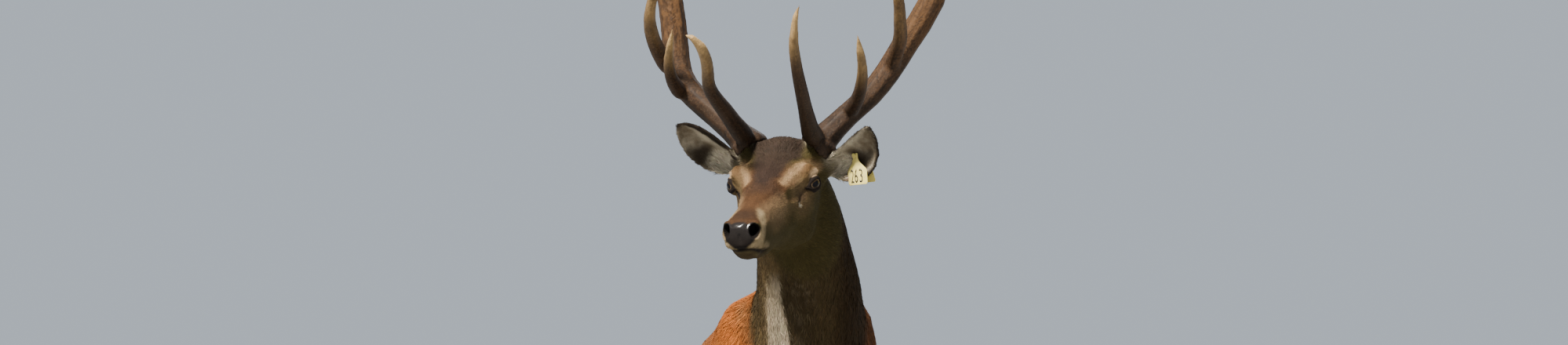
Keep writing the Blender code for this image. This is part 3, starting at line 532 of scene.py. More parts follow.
def nearest_parts(places):
    """For each place, a share for each part of the body by the nearest CAD node."""
    best = np.full(len(places), 1e9)
    label = np.zeros(len(places), int)
    for node in FLESH:
        kind = PARTS.index(node.split("_")[0])
        low, high = (np.array(corner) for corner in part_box(node))
        inside = np.nonzero(((places > low - 0.02) & (places < high + 0.02)).all(axis=1))[0]
        shape = bmesh.new()
        shape.from_mesh(frame["nodes"][node].data)
        tree = BVHTree.FromBMesh(shape)
        shape.free()
        for index in inside:
            reach = tree.find_nearest(Vector(places[index]))[3]
            if reach < best[index]:
                best[index] = reach
                label[index] = kind
    return np.eye(len(PARTS))[label]


def line_distance(points, line):
    """Distance of each point to a polyline."""
    best = np.full(len(points), 1e9)
    line = np.asarray(line, float)
    for start, end in zip(line[:-1], line[1:]):
        along = end - start
        share = np.clip((points - start) @ along / (along @ along), 0, 1)
        best = np.minimum(best, np.linalg.norm(points - start - share[:, None] * along, axis=1))
    return best


def dab(points, centre, radii, push):
    """Moves points near a centre by a push that fades out softly."""
    away = (points - np.array(centre)) / np.array(radii)
    return points + np.exp(-(away**2).sum(axis=1) * 1.4)[:, None] * np.array(push)


def score(points, normals, line, width, depth):
    """Cuts a soft groove along a line."""
    share = np.exp(-((line_distance(points, line) / width) ** 2))
    return points - normals * (share * depth)[:, None]


def eye_angles(points):
    """Bearings of mirrored head places from the eyeball's centre, their distance, arm and way out."""
    ahead = np.array((1.0, 0.0, -SLIT_SLOPE))
    ahead = ahead - EYE_LOOKS * (ahead @ EYE_LOOKS)
    ahead = ahead / np.linalg.norm(ahead)
    up = np.cross(EYE_LOOKS, ahead)
    up = up if up[2] > 0 else -up
    arm = points - EYE_SPOT
    reach = np.linalg.norm(arm, axis=1)
    out = arm @ EYE_LOOKS
    level = arm @ ahead
    return np.arctan2(level, out), np.arctan2(arm @ up, np.hypot(out, level)), reach, arm, out


def slit_margin(level, rise):
    """How far inside the slit a bearing is, in metres on the eyeball; negative outside."""
    across = np.clip(1 - (level / SLIT_HALF) ** 2, 0, 1)
    upper = LID_OPEN[0] * across**0.52 - rise
    lower = rise + LID_OPEN[1] * across**0.60
    past = np.maximum(np.abs(level) - SLIT_HALF, 0)
    return (np.minimum(upper, lower) - past) * EYE_RADIUS


def set_lids(points):
    """Draws the skin over the eyeball as two lids with a slit between them."""
    level, rise, reach, arm, out = eye_angles(points)
    margin = slit_margin(level, rise)
    near = (reach < EYE_RADIUS + 0.030) & (out > -0.004)
    lid = EYE_RADIUS + LID_GAP + 0.0022 * (1 - np.exp(np.minimum(margin, 0) / 0.0022))
    upper = (rise > 0) * np.exp(-(((margin + 0.0075) / 0.0022) ** 2))
    lid = lid - 0.0012 * upper  # the crease over the upper lid
    under = EYE_RADIUS + LID_GAP - 0.0040 * (1 - np.exp(-np.maximum(margin, 0) / 0.0016))
    lid = np.where(margin > 0, under, lid)
    fade = 1 - smooth_step(-margin, 0.0050, 0.0150)
    share = np.where(near, fade, 0.0) * smooth_step(out, -0.004, 0.004)
    share = np.where((reach > EYE_RADIUS * 1.9) & (margin < 0), 0.0, share)
    wanted = arm / reach[:, None] * lid[:, None] + (points - arm)
    points = points + share[:, None] * (wanted - points)
    arm = points - (wanted - arm / reach[:, None] * lid[:, None])
    reach = np.linalg.norm(arm, axis=1)
    covered = near & (margin < 0) & (reach < EYE_RADIUS + 0.0016)
    short = np.where(covered, EYE_RADIUS + 0.0016 - reach, 0.0)
    return points + arm / reach[:, None] * short[:, None], margin


def mirrored(points):
    """Head places with both sides folded onto the left, and the signs that unfold them."""
    sign = np.where(points[:, 1] < 0, -1.0, 1.0)
    folded = points.copy()
    folded[:, 1] = np.abs(folded[:, 1])
    return folded, sign


def model_face(places, mesh):
    """Presses the features of the face into the skin, alike on both sides."""
    head = to_head(places)
    nearby = (np.linalg.norm(head - np.array(FACE_CENTRE), axis=1) < 0.33) & (head[:, 0] > -0.12)
    points, sign = mirrored(head)
    place(mesh, places)
    normals = turn_to_head(normals_of(mesh))
    normals = normals * np.stack((np.ones(len(sign)), sign, np.ones(len(sign))), axis=1)
    start = points.copy()

    # brow, cheek hollow, bridge
    points = dab(points, (0.004, 0.066, 0.036), (0.026, 0.012, 0.009), (0.0, 0.0030, 0.0040))
    points = dab(points, (-0.008, 0.076, 0.024), (0.024, 0.012, 0.009), (0.0, 0.0060, 0.0020))
    points = dab(points, (0.060, 0.050, -0.010), (0.026, 0.014, 0.013), (0.0, -0.0045, -0.0010))
    points = dab(points, (0.120, 0.040, -0.040), (0.050, 0.012, 0.014), (0.0, -0.0030, 0.0))
    points = dab(points, (0.050, 0.062, -0.040), (0.040, 0.012, 0.008), (0.0, 0.0020, 0.0))
    tear = ((0.018, 0.068, -0.005), (0.028, 0.061, -0.014), (0.038, 0.057, -0.028))
    points = score(points, normals, tear, 0.0030, 0.0020)

    # nostrils and their wings
    from_nostril = np.linalg.norm((points - np.array(NOSTRIL)) / np.array(NOSTRIL_SIZE), axis=1)
    rim = np.exp(-(((from_nostril - 1.10) / 0.22) ** 2))
    outer = smooth_step(points[:, 1], 0.014, 0.030)
    points = points + normals * (rim * (0.0008 + 0.0020 * outer))[:, None]
    hollow = 1 - smooth_step(from_nostril, 0.45, 1.0)
    points = points + hollow[:, None] * np.array((-0.0180, -0.0085, 0.0010))

    # middle of the nose and the lips
    cleft = ((0.272, 0.0, -0.046), (0.268, 0.0, -0.060), (0.262, 0.0, -0.074))
    points = score(points, normals, cleft, 0.0022, 0.0022)
    across = np.interp(points[:, 0], *zip(*MOUTH))
    gape = points[:, 2] - across
    inside = smooth_step(points[:, 0], MOUTH[0][0] - 0.004, MOUTH[0][0] + 0.010)
    side = smooth_step(np.abs(normals[:, 2]), 0.90, 0.60)
    seam = np.exp(-((gape / 0.0026) ** 2)) * inside * side
    upper = np.exp(-(((gape - 0.0090) / 0.0060) ** 2)) * inside * side
    lower = np.exp(-(((gape + 0.0080) / 0.0060) ** 2)) * inside * side
    points = points + normals * (0.0016 * upper + 0.0004 * lower - 0.0044 * seam)[:, None]
    points = dab(points, (0.164, 0.034, -0.092), (0.007, 0.008, 0.005), (0.0, -0.0030, 0.0))

    moved = np.where(nearby[:, None], points, start)
    moved, margin = set_lids(moved)
    folded = moved.copy()
    folded[:, 1] = np.maximum(folded[:, 1], 0) * sign
    margin = np.where(np.linalg.norm(head, axis=1) < 0.14, margin, -1.0)
    return from_head(folded), margin


def finer(mesh, chosen):
    """Halves the edges of the chosen vertices' faces."""
    shape = bmesh.new()
    shape.from_mesh(mesh)
    shape.verts.ensure_lookup_table()
    shape.edges.ensure_lookup_table()
    cut = [edge for edge in shape.edges if chosen[edge.verts[0].index] and chosen[edge.verts[1].index]]
    bmesh.ops.subdivide_edges(shape, edges=cut, cuts=1, use_grid_fill=True, smooth=0.0)
    bmesh.ops.triangulate(shape, faces=[face for face in shape.faces if len(face.verts) > 4])
    shape.to_mesh(mesh)
    shape.free()
    mesh.update()


def run_together(mesh, steps):
    """Rounds the foot of the neck into the shoulders and the withers, filling more than it takes."""
    places, edges = places_of(mesh), edges_of(mesh)
    region = smooth_step(neck_share(places), 0.35, 0.62)
    region = region * smooth_step(places[:, 1], 0.26, 0.08) * smooth_step(places[:, 2], 0.84, 0.98)
    for step in range(steps):
        if step % 10 == 0:
            place(mesh, places)
            normals = normals_of(mesh)
        rise = ((neighbour_mean(places, edges) - places) * normals).sum(axis=1)
        rise = np.where(rise > 0, rise, 0.62 * rise) * region
        places = places + normals * rise[:, None]
    place(mesh, places)


def raw_skin():
    """The flesh as one closed surface, faired, fine on the face and coarser on the body."""
    shape = cad_shape(FLESH + ["eye_left", "eye_right"], swell=0.0006)
    mesh = through_modifier(shape, "REMESH", mode="VOXEL", voxel_size=SKIN_GRID)
    largest_part(mesh)
    places, edges = places_of(mesh), edges_of(mesh)
    head = to_head(places)
    away = np.linalg.norm(head - np.array(FACE_CENTRE), axis=1)
    face = 1 - smooth_step(away, FACE_REACH - 0.06, FACE_REACH + 0.05)
    body = 1 - face
    places = fair(places, edges, 7)
    places = fair(places, edges, 36, body)
    place(mesh, places)
    fewer = {"decimate_type": "COLLAPSE", "ratio": 0.25, "vertex_group_factor": 1.0}
    mesh = through_modifier(mesh, "DECIMATE", body, **fewer)
    run_together(mesh, 110)
    return mesh


def coat_depth(places, parts):
    """How far the skin lies under the tips of the coat."""
    head = to_head(places)
    depth = parts @ np.array((0.0018, 0.0030, 0.0030, 0.0060, 0.0010, 0.0018))
    muzzle = smooth_step(head[:, 0], 0.10, 0.20) * parts[:, 0]
    return depth * (1 - muzzle) + 0.0008 * muzzle


# Markings, lie and length of the coat, the same for the skin and for the tufts


def patch(points, centre, radii, soft):
    """1 inside a rounded patch, 0 outside it, soft at its edge."""
    away = np.linalg.norm((points - np.array(centre)) / np.array(radii), axis=1)
    return 1 - smooth_step(away, 1 - soft, 1 + soft)


def band(points, line, width, soft):
    """1 along a line, fading out at its width."""
    return 1 - smooth_step(line_distance(points, line), width * (1 - soft), width * (1 + soft))


NOSTRIL = (0.2600, 0.0256, -0.0400)
NOSTRIL_SIZE = (0.0155, 0.0098, 0.0145)
# the insides of the nostrils, far darker than the bare nose: painted shade in their hollows
NOSTRIL_BLACK = (0.0004, 0.0003, 0.0003)
LID_HIGHLIGHT = (  # a painted highlight, near white, on the ridge along the upper lid
    (0.015, 0.077, 0.0215),
    (0.008, 0.080, 0.0245),
    (-0.004, 0.084, 0.0262),
    (-0.018, 0.087, 0.0245),
    (-0.030, 0.088, 0.0180),
)
BEHIND_THE_NOSE = (  # the pale ring round the bare nose
    (0.200, 0.030, -0.012),
    (0.222, 0.034, -0.026),
    (0.238, 0.039, -0.045),
    (0.250, 0.036, -0.058),
    (0.266, 0.025, -0.064),
)
UPPER_LIP = ((0.266, 0.022, -0.071), (0.250, 0.030, -0.072), (0.222, 0.036, -0.074), (0.195, 0.037, -0.083))
LOWER_LIP = ((0.262, 0.0, -0.086), (0.250, 0.024, -0.086), (0.222, 0.030, -0.090), (0.198, 0.032, -0.095))
DEWCLAW_COLOUR = (0.030, 0.024, 0.020)
DEWCLAW_HEIGHT = 0.078
DEWCLAW_SIZE = (0.030, 0.014, 0.013)


def nose_mask(points):
    """The bare nose, in mirrored head places."""
    front = patch(points, (0.276, 0.0, -0.045), (0.029, 0.033, 0.026), 0.10)
    wing = patch(points, (0.259, 0.0248, -0.0375), (0.0172, 0.0122, 0.0152), 0.10)
    lip = patch(points, (0.268, 0.0, -0.064), (0.016, 0.012, 0.012), 0.16)
    return np.clip(front + wing + lip, 0, 1)


class Markings:
    """The colour of the coat or of bare skin at each place of the skin, laid on in layers."""

    def __init__(self, places, normals, parts):
        coat = bpy.context.scene.stag_coat
        self.coat = coat
        self.places = places
        self.normals = normals
        self.skull, self.neck, self.trunk, self.tail, self.ear, self.leg = parts.T
        self.wander = ripple(places, 38.0)
        self.fine = ripple(places, 150.0, 3.0)
        self.broad = ripple(places, 5.5, 1.0)
        points, _ = mirrored(to_head(places))
        uneven = (0.0045 * self.wander + 0.0015 * self.fine)[:, None]
        self.points = points + uneven * np.array((0.6, 1.0, 1.0))
        self.faces = turn_to_head(normals)
        red = coat.body_red
        plain = (coat.cheek_brown, coat.neck_brown, red, red, coat.ear_dark, red)
        self.colour = parts @ np.array([tuple(paint) for paint in plain])

    def lay(self, share, paint, strength=1.0):
        """Covers a share of the colour with a paint."""
        share = np.clip(share * strength, 0, 1)[:, None]
        self.colour = self.colour * (1 - share) + np.array(paint) * share

    def dot(self, centre, radii, soft, paint, strength=1.0):
        """A rounded patch on each side of the head."""
        self.lay(self.skull * patch(self.points, centre, radii, soft), paint, strength)

    def stroke(self, line, width, soft, paint, strength, uneven=1.0):
        """A line on each side of the head."""
        self.lay(self.skull * band(self.points, line, width, soft) * uneven, paint, strength)

    def on_trunk(self):
        coat, lay, wander = self.coat, self.lay, self.wander
        trunk, tail = self.trunk, self.tail
        x, y, z = self.places.T
        _, backward, up = self.normals.T
        dusk = (trunk + self.leg) * (0.72 + 0.25 * self.broad + 0.12 * wander) * smooth_step(y, -0.24, 0.10)
        lay(dusk, coat.flank_brown)
        # Painted shade: a darker patch over the withers and the top of the stag's left shoulder
        withers_shade = (((self.places - (0.115, -0.09, 1.20)) / (0.080, 0.17, 0.09)) ** 2).sum(axis=1)
        lay((trunk + self.neck) * np.exp(-withers_shade * 1.2), coat.flank_brown, 0.85)
        lay(trunk * smooth_step(up, -0.35, -0.85) * smooth_step(z, 0.86, 0.70), coat.belly_grey, 0.85)
        spine = 1 - smooth_step(np.abs(x - BODY_MIDDLE) + 0.010 * wander, 0.008, 0.055)
        lay(trunk * spine * smooth_step(z, 1.06, 1.14), coat.back_brown, 0.75)
        low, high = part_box("tail")
        dock = np.array(((low[0] + high[0]) / 2, high[1] - 0.02, high[2] - 0.03))
        rump = np.exp(-(((self.places - dock) / (0.10, 0.09, 0.13)) ** 2).sum(axis=1) - 0.5 * wander)
        rear = smooth_step(backward, -0.1, 0.3)
        lay(smooth_step(rump, 0.30, 0.48) * (trunk + tail * 0.4) * rear, coat.rump_buff)
        lay(tail * smooth_step(-backward, -0.2, 0.6), coat.rump_buff, 0.6)

    def on_legs(self):
        coat, lay, leg = self.coat, self.lay, self.leg
        x, _, z = self.places.T
        lay(leg * smooth_step(z, 0.78, 0.45), coat.leg_brown)
        lay(leg * smooth_step(z, 0.14, 0.06), np.array(coat.leg_brown) * 0.5)
        inside = smooth_step(-self.normals[:, 0] * np.sign(x - BODY_MIDDLE), 0.2, 0.8)
        lay(leg * smooth_step(z, 0.85, 0.70) * inside, coat.belly_grey, 0.5)

    def on_neck(self):
        coat, lay, wander = self.coat, self.lay, self.wander
        trunk, neck = self.trunk, self.neck
        x, y, z = self.places.T
        backward = self.normals[:, 1]
        front = smooth_step(-backward + 0.10 * wander, 0.05, 0.60)
        down = neck_share(self.places) + 0.03 * wander
        limit = 0.60 + 0.32 * front * (1 - smooth_step(np.abs(x - 0.045), 0.060, 0.105))
        red = smooth_step(down, limit - 0.09, limit + 0.09)
        brown = np.array(coat.neck_brown)
        lay(neck * red, coat.body_red)
        # Painted shade: the stag's left shoulder, the foot of the neck and the top of the left foreleg
        # darker, on the side away from the key light
        painted_shade = smooth_step(x, 0.015, 0.130) * smooth_step(y + 0.02 * self.broad, 0.16, -0.14)
        shoulder = trunk + neck * red + self.leg * smooth_step(z, 0.70, 0.95)
        lay(shoulder * painted_shade, np.array(coat.flank_brown) * 0.70, 0.85)
        lay(trunk * (1 - red), brown)
        lay(neck * smooth_step(backward, 0.2, 0.8) * (1 - red), coat.back_brown, 0.5)
        # Painted shade: the stag's left side of the neck darker
        lay(neck * smooth_step(x, 0.075, 0.130) * (1 - red), brown * (0.50, 0.42, 0.40), 0.9)
        # Painted light: the front of the stag's right side of the neck, which the key light falls on, much
        # lighter
        lay(neck * smooth_step(x, 0.000, -0.030) * front * (1 - red), brown * (3.2, 3.2, 3.4), 0.9)
        hairs = ripple(self.places * (1.0, 1.0, 0.16), 190.0, 2.0)
        throat = neck * front * smooth_step(z, 1.30, 1.18) * smooth_step(z, 0.86, 1.00)
        across = x - np.interp(z, (1.083, 1.140, 1.200), (0.032, 0.026, 0.020))
        # Painted shadow: the head's shadow darkens the middle of the throat
        lay(throat * np.exp(-((across / 0.058) ** 2)), brown * 0.50, 0.8)
        lay(throat * np.exp(-((across / 0.052) ** 2)) * smooth_step(hairs, 0.0, 0.7), coat.throat_pale, 0.15)
        # The pale throat hair on a narrow stripe whose edge follows the head's shadow: partly the throat's
        # own pale hair, partly painted light
        middle = ((0.95, 1.083, 1.140, 1.180, 1.225), (0.020, -0.001, -0.012, -0.019, -0.024))
        turned = x - np.interp(z, *middle)
        wide = np.interp(z, (0.95, 1.083, 1.200), (0.026, 0.0185, 0.0100))
        stripe = 1 - smooth_step(np.abs(turned) + 0.004 * hairs, wide * 0.75, wide * 1.2)
        lay(throat * stripe * smooth_step(z, 1.225, 1.195), coat.throat_pale, 0.95)

    def on_head(self):
        """The hair of the head, from large areas to small, with painted light along the sides of the muzzle
        and painted highlights over the upper lids and on the folds behind the eyes.
        """
        coat, lay, dot, stroke = self.coat, self.lay, self.dot, self.stroke
        skull = self.skull
        ahead, aside, above = self.points.T
        upward = self.faces[:, 2]
        pale, muzzle = np.array(coat.brow_pale), np.array(coat.muzzle_pale)
        lay(skull * smooth_step(upward, 0.15, 0.60) * smooth_step(ahead, -0.02, 0.05), coat.bridge_brown)
        lay(skull * smooth_step(-upward, 0.35, 0.80), coat.cheek_brown, 0.8)
        # Painted light: paler bands along the side of the muzzle, from below the eye towards the nose, where
        # the key light falls
        dot((0.030, 0.062, -0.006), (0.045, 0.018, 0.040), 0.7, pale, 0.45)
        dot((0.135, 0.040, -0.030), (0.060, 0.014, 0.024), 0.8, pale, 0.50)
        cheek = ((0.100, 0.040, -0.012), (0.150, 0.034, -0.018), (0.190, 0.030, -0.018))
        stroke(cheek, 0.017, 0.5, pale, 0.40)
        half = np.interp(ahead, (-0.10, -0.05, 0.02, 0.055, 0.085), (0.058, 0.051, 0.034, 0.026, 0.014))
        strands = ripple(self.points * (0.25, 1.0, 1.0), 330.0, 4.0)
        wedge = 1 - smooth_step(aside + 0.0045 * strands, half - 0.010, half + 0.008)
        wedge = wedge * smooth_step(above, 0.0, 0.02)
        lay(skull * wedge * (1 - smooth_step(ahead, 0.080, 0.100)), coat.forehead_dark, 0.92)
        dot((0.098, 0.0, 0.012), (0.026, 0.030, 0.034), 0.8, coat.forehead_dark, 0.62)
        dot((0.099, 0.030, 0.002), (0.012, 0.009, 0.012), 0.6, coat.muzzle_dark, 0.45)
        dot((-0.004, 0.068, 0.032), (0.046, 0.018, 0.016), 0.7, pale * (0.44, 0.37, 0.29), 0.80)
        brow = ((0.066, 0.036, 0.017), (0.022, 0.050, 0.035), (-0.030, 0.060, 0.040), (-0.060, 0.074, 0.027))
        stroke(brow, 0.0080, 0.9, pale * 1.15, 0.95, 0.85 + 0.35 * strands)
        # Painted highlight, near white, over the upper lid
        stroke(LID_HIGHLIGHT, 0.0062, 0.9, pale * (1.7, 1.85, 2.1), 0.90)
        # Painted highlight: a pale arc on the fold behind the eye, where its ridge catches the light
        fold = ((-0.034, 0.084, 0.018), (-0.046, 0.083, 0.000), (-0.044, 0.080, -0.020))
        stroke(fold, 0.0070, 0.6, pale, 0.45)
        dot((-0.076, 0.060, 0.070), (0.014, 0.012, 0.012), 0.6, coat.ear_white, 0.35)
        dot((0.235, 0.0, -0.006), (0.028, 0.028, 0.024), 0.6, coat.muzzle_dark, 0.85)
        stroke(BEHIND_THE_NOSE, 0.0105, 0.85, muzzle, 0.90)
        stroke(UPPER_LIP, 0.0075, 0.7, muzzle, 0.50)
        dot((0.225, 0.0, -0.096), (0.062, 0.045, 0.022), 0.5, muzzle * (0.15, 0.135, 0.115), 0.85)
        stroke(LOWER_LIP, 0.0060, 0.7, muzzle * (0.32, 0.34, 0.24), 0.75)
        dot((0.172, 0.036, -0.092), (0.014, 0.012, 0.006), 0.5, coat.muzzle_dark, 0.85)
        dot((0.034, 0.062, -0.014), (0.015, 0.012, 0.011), 0.7, coat.forehead_dark, 0.50)
        tear = ((0.020, 0.068, -0.004), (0.028, 0.061, -0.013), (0.037, 0.057, -0.026))
        stroke(tear, 0.0052, 0.7, coat.forehead_dark, 0.90)
        stroke(tear, 0.0034, 0.5, coat.nose_black, 0.95)
        dot((0.037, 0.057, -0.031), (0.0030, 0.0045, 0.0030), 0.4, coat.ear_white)

    def on_bare_skin(self, margin):
        """Lids, nose and lips. Returns how bare each place is, and how wet."""
        lay, skull, points = self.lay, self.skull, self.points
        ahead, aside, above = points.T
        level, rise, _, _, _ = eye_angles(points)
        wide = 0.0048 + 0.0044 * smooth_step(level, -0.2, 0.7) + 0.0026 * smooth_step(-rise, 0.0, 0.3)
        lids = smooth_step(margin + wide, -0.0016, 0.0012) * (margin > -0.9) * skull
        lay(lids, bpy.context.scene.stag_eyes.lid)
        nose = nose_mask(points - 0.002 * self.fine[:, None]) * skull
        lay(nose, self.coat.nose_black)
        # Painted shade: the nostrils' hollows far darker than the bare nose
        nostril = patch(points, NOSTRIL, NOSTRIL_SIZE, 0.12)
        cave = patch(points, (0.249, 0.0170, -0.0390), (0.0200, 0.0120, 0.0150), 0.12)
        nostril = np.clip(nostril + cave, 0, 1)
        nose = np.maximum(nose, nostril * skull)
        lay(nose * nostril, NOSTRIL_BLACK)
        mouth = np.interp(ahead, *zip(*MOUTH))
        seam = np.exp(-(((above - mouth) / 0.0030) ** 2))
        seam = seam * smooth_step(ahead, MOUTH[0][0] - 0.004, MOUTH[0][0] + 0.008)
        lips = skull * (seam * (np.abs(self.faces[:, 2]) < 0.9))
        lay(lips, self.coat.nose_black, 0.95)
        bare = np.clip(np.maximum(nose, np.maximum(lids, lips)), 0, 1)
        shiny = smooth_step(above, -0.064, -0.044) * (1 - smooth_step(aside, 0.020, 0.034))
        return bare, np.clip(nose * (1 - nostril) * (0.12 + 0.88 * shiny), 0, 1)

    def on_ears(self):
        coat, lay, ear = self.coat, self.lay, self.ear
        share, edge, inner, _ = ear_measures(self.places, self.normals)
        cup = ear * inner
        hairs = ripple(self.places, 120.0, 7.0)
        lay(ear * smooth_step(share, 0.70, 0.20) * (1 - inner), coat.cheek_brown, 0.8)
        lay(cup, coat.ear_grey)
        mottled = smooth_step(self.wander + 0.6 * hairs, -0.5, 0.5)
        lay(cup * mottled * smooth_step(share, 0.50, 0.60), coat.ear_white, 0.50)
        flat = np.stack((share, edge), axis=1)
        strewn = smooth_step(hairs, -0.9, 0.1)
        for centre, radii, soft, paint, strength, uneven in (
            ((0.48, 0.10), (0.12, 0.50), 0.55, coat.ear_dark, 0.85, 1.0),
            ((0.60, 0.42), (0.10, 0.30), 0.50, coat.ear_dark, 0.55, 1.0),
            ((0.27, -0.30), (0.15, 1.00), 0.40, coat.ear_white, 0.95, strewn),
            ((0.60, -0.82), (0.26, 0.24), 0.50, coat.ear_white, 0.60, 1.0),
            ((0.52, 0.84), (0.10, 0.12), 0.50, coat.ear_white, 0.45, 1.0),
            ((0.24, 0.78), (0.20, 0.30), 0.40, coat.brow_pale, 0.75, 1.0),
            ((0.10, 0.10), (0.14, 0.90), 0.40, coat.ear_white, 0.85, 1.0),
        ):
            lay(cup * patch(flat, centre, radii, soft) * uneven, paint, strength)
        rim = smooth_step(np.abs(edge) + 0.05 * hairs, 0.80, 0.92) * smooth_step(share, 0.30, 0.45)
        lay(ear * np.maximum(rim, smooth_step(share, 0.93, 0.99)), coat.ear_dark, 0.95)


def markings(places, normals, parts, margin):
    """Colour of the coat or bare skin at each place, and how bare and how wet it is."""
    marks = Markings(places, normals, parts)
    marks.on_trunk()
    marks.on_legs()
    marks.on_neck()
    marks.on_head()
    bare, wet = marks.on_bare_skin(margin)
    marks.on_ears()
    tone = 1 + 0.12 * marks.wander + 0.15 * marks.fine  # a slight change from place to place
    marks.colour = marks.colour * tone[:, None]
    claw = marks.leg * dewclaw_mask(places)
    marks.lay(claw, DEWCLAW_COLOUR)
    return np.clip(marks.colour, 0.002, 0.95), np.maximum(bare, claw), np.maximum(wet, claw * 0.3)


def neck_share(places):
    """How far down the neck each place lies: 0 at the jaw, 1 at the chest."""
    top, foot = np.array((-0.02, -0.62, 1.34)), np.array((0.065, -0.20, 0.98))
    along = foot - top
    return (places - top) @ along / (along @ along)


def dewclaw_mask(places):
    """The two small claws behind each pastern."""
    mask = np.zeros(len(places))
    for end in ("front", "hind"):
        for side in SIDES:
            boxes = [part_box(f"hoof_{end}_{side}_{half}") for half in ("inner", "outer")]
            low = np.minimum(*(np.array(box[0]) for box in boxes))
            high = np.maximum(*(np.array(box[1]) for box in boxes))
            centre = np.array(((low[0] + high[0]) / 2, high[1] + 0.006, DEWCLAW_HEIGHT))
            away = (places - centre) / np.array(DEWCLAW_SIZE)
            mask = np.maximum(mask, 1 - smooth_step(np.linalg.norm(away, axis=1), 0.85, 1.10))
    return mask


# The ears' own measures

EAR_LENGTH = 0.185
EAR_BASE = (-0.098, 0.087, 0.035)
EAR_TIP = {"left": (-0.004, 0.188, 0.105), "right": (-0.002, 0.182, 0.119)}
EAR_WAY = (0, 0.1, 0.25, 0.5, 0.64, 0.78, 0.9, 1.0)  # shares of the way to the tip
EAR_HALF = (0.024, 0.030, 0.036, 0.040, 0.038, 0.030, 0.018, 0.004)  # half the ear's width there
EAR_SAG = 0.030  # how far the ear's middle line hangs below the straight way to the tip
EAR_OPENS = {"left": (0.85, -0.20, -0.30), "right": (0.80, -0.10, -0.52)}


def ear_ways(side):
    """The ear's root, and the ways along it, out of its cup, and across it to its lower edge."""
    sign = SIDES[side]
    base = from_head(np.array([(EAR_BASE[0], sign * EAR_BASE[1], EAR_BASE[2])]))[0]
    ahead, left, up = EAR_TIP[side]
    tip = from_head(np.array([(ahead, sign * left, up)]))[0]
    along = (tip - base) / np.linalg.norm(tip - base)
    ahead, left, up = EAR_OPENS[side]
    opens = head_way(ahead, sign * left, up)
    opens = opens - along * (opens @ along)
    opens = opens / np.linalg.norm(opens)
    down = head_way(0, 0, -1)
    down = down - along * (down @ along)
    down = down - opens * (down @ opens)
    return tip - along * EAR_LENGTH, along, opens, down / np.linalg.norm(down)


def ear_measures(places, normals):
    """Share of the way to the tip, -1 to 1 from upper to lower edge, 1 inside the cup, and the side."""
    share = np.zeros(len(places))
    edge = np.zeros(len(places))
    inner = np.zeros(len(places))
    side_of = np.where(to_head(places)[:, 1] > 0, 1.0, -1.0)
    for side, sign in SIDES.items():
        mine = side_of == sign
        root, along, opens, down = ear_ways(side)
        arm = places[mine] - root
        way = np.clip((arm @ along) / EAR_LENGTH, -0.2, 1.05)
        sag = EAR_SAG * 4 * way * (1 - way)
        share[mine] = way
        edge[mine] = np.clip(((arm @ down) - sag) / np.interp(way, EAR_WAY, EAR_HALF), -1.3, 1.3)
        inner[mine] = smooth_step(normals[mine] @ opens, -0.10, 0.30)
    return share, edge, inner, side_of


def lie_of_coat(places, normals, parts):
    """The way the hair points at each place, along the skin."""
    head = to_head(places)
    points, sign = mirrored(head)
    x, y, _ = places.T
    one = np.ones(len(places))
    back = head_way(-1, 0, 0)[None, :] * one[:, None]
    outward = head_way(0, 1, 0)[None, :] * sign[:, None]
    rise = head_way(0, 0, 1)[None, :] * one[:, None]
    brow = patch(points, (0.02, 0.03, 0.05), (0.06, 0.06, 0.05), 0.6)[:, None]
    cheek = smooth_step(-points[:, 2], 0.0, 0.06)[:, None]
    face = back + 0.25 * brow * outward + 0.35 * brow * rise - 0.45 * cheek * rise
    away = points - EYE_SPOT
    ring = np.exp(-((np.linalg.norm(away, axis=1) - EYE_RADIUS) / 0.016) ** 2)[:, None]
    around = unit(away)
    around_world = around[:, [0]] * -back + around[:, [1]] * outward + around[:, [2]] * rise
    face = face + ring * 0.7 * around_world
    front = smooth_step(-normals[:, 1], -0.2, 0.6)[:, None]
    neck = front * np.array((0.04, 0.30, -0.95)) + (1 - front) * np.array((0.03, 0.75, -0.62))
    flank = smooth_step(np.abs(normals[:, 0]), 0.2, 0.8)
    rear = smooth_step(y, 0.55, 0.88)
    fore = smooth_step(-y, 0.10, 0.38)
    drop = -0.22 * flank - 1.1 * rear * flank - 1.0 * fore
    trunk = np.stack((0.05 * np.sign(x - BODY_MIDDLE), 1.0 - 0.75 * rear - 0.6 * fore, drop), axis=1)
    tail = np.tile((0.0, 0.12, -1.0), (len(places), 1))
    leg = np.stack((0 * x, 0.12 * one, -one), axis=1)
    _, edge, _, side = ear_measures(places, normals)
    ear = np.zeros_like(places)
    for name, mark in SIDES.items():
        _, along, _, down = ear_ways(name)
        mine = side == mark
        ear[mine] = (edge[mine] * 0.35)[:, None] * down + along
    low_neck = smooth_step(neck_share(places), 0.50, 0.75)[:, None]
    neck = unit(neck) * (1 - low_neck) + unit(trunk) * low_neck
    flows = (face, neck, trunk, tail, ear, leg)
    flow = sum(parts[:, [k]] * unit(flows[k]) for k in range(len(PARTS)))
    swirl = np.stack([ripple(places, 9.0, seed) for seed in (1.0, 5.0, 9.0)], axis=1)
    flow = flow + 0.22 * swirl
    flow = flow - normals * (flow * normals).sum(axis=1, keepdims=True)
    return unit(flow)


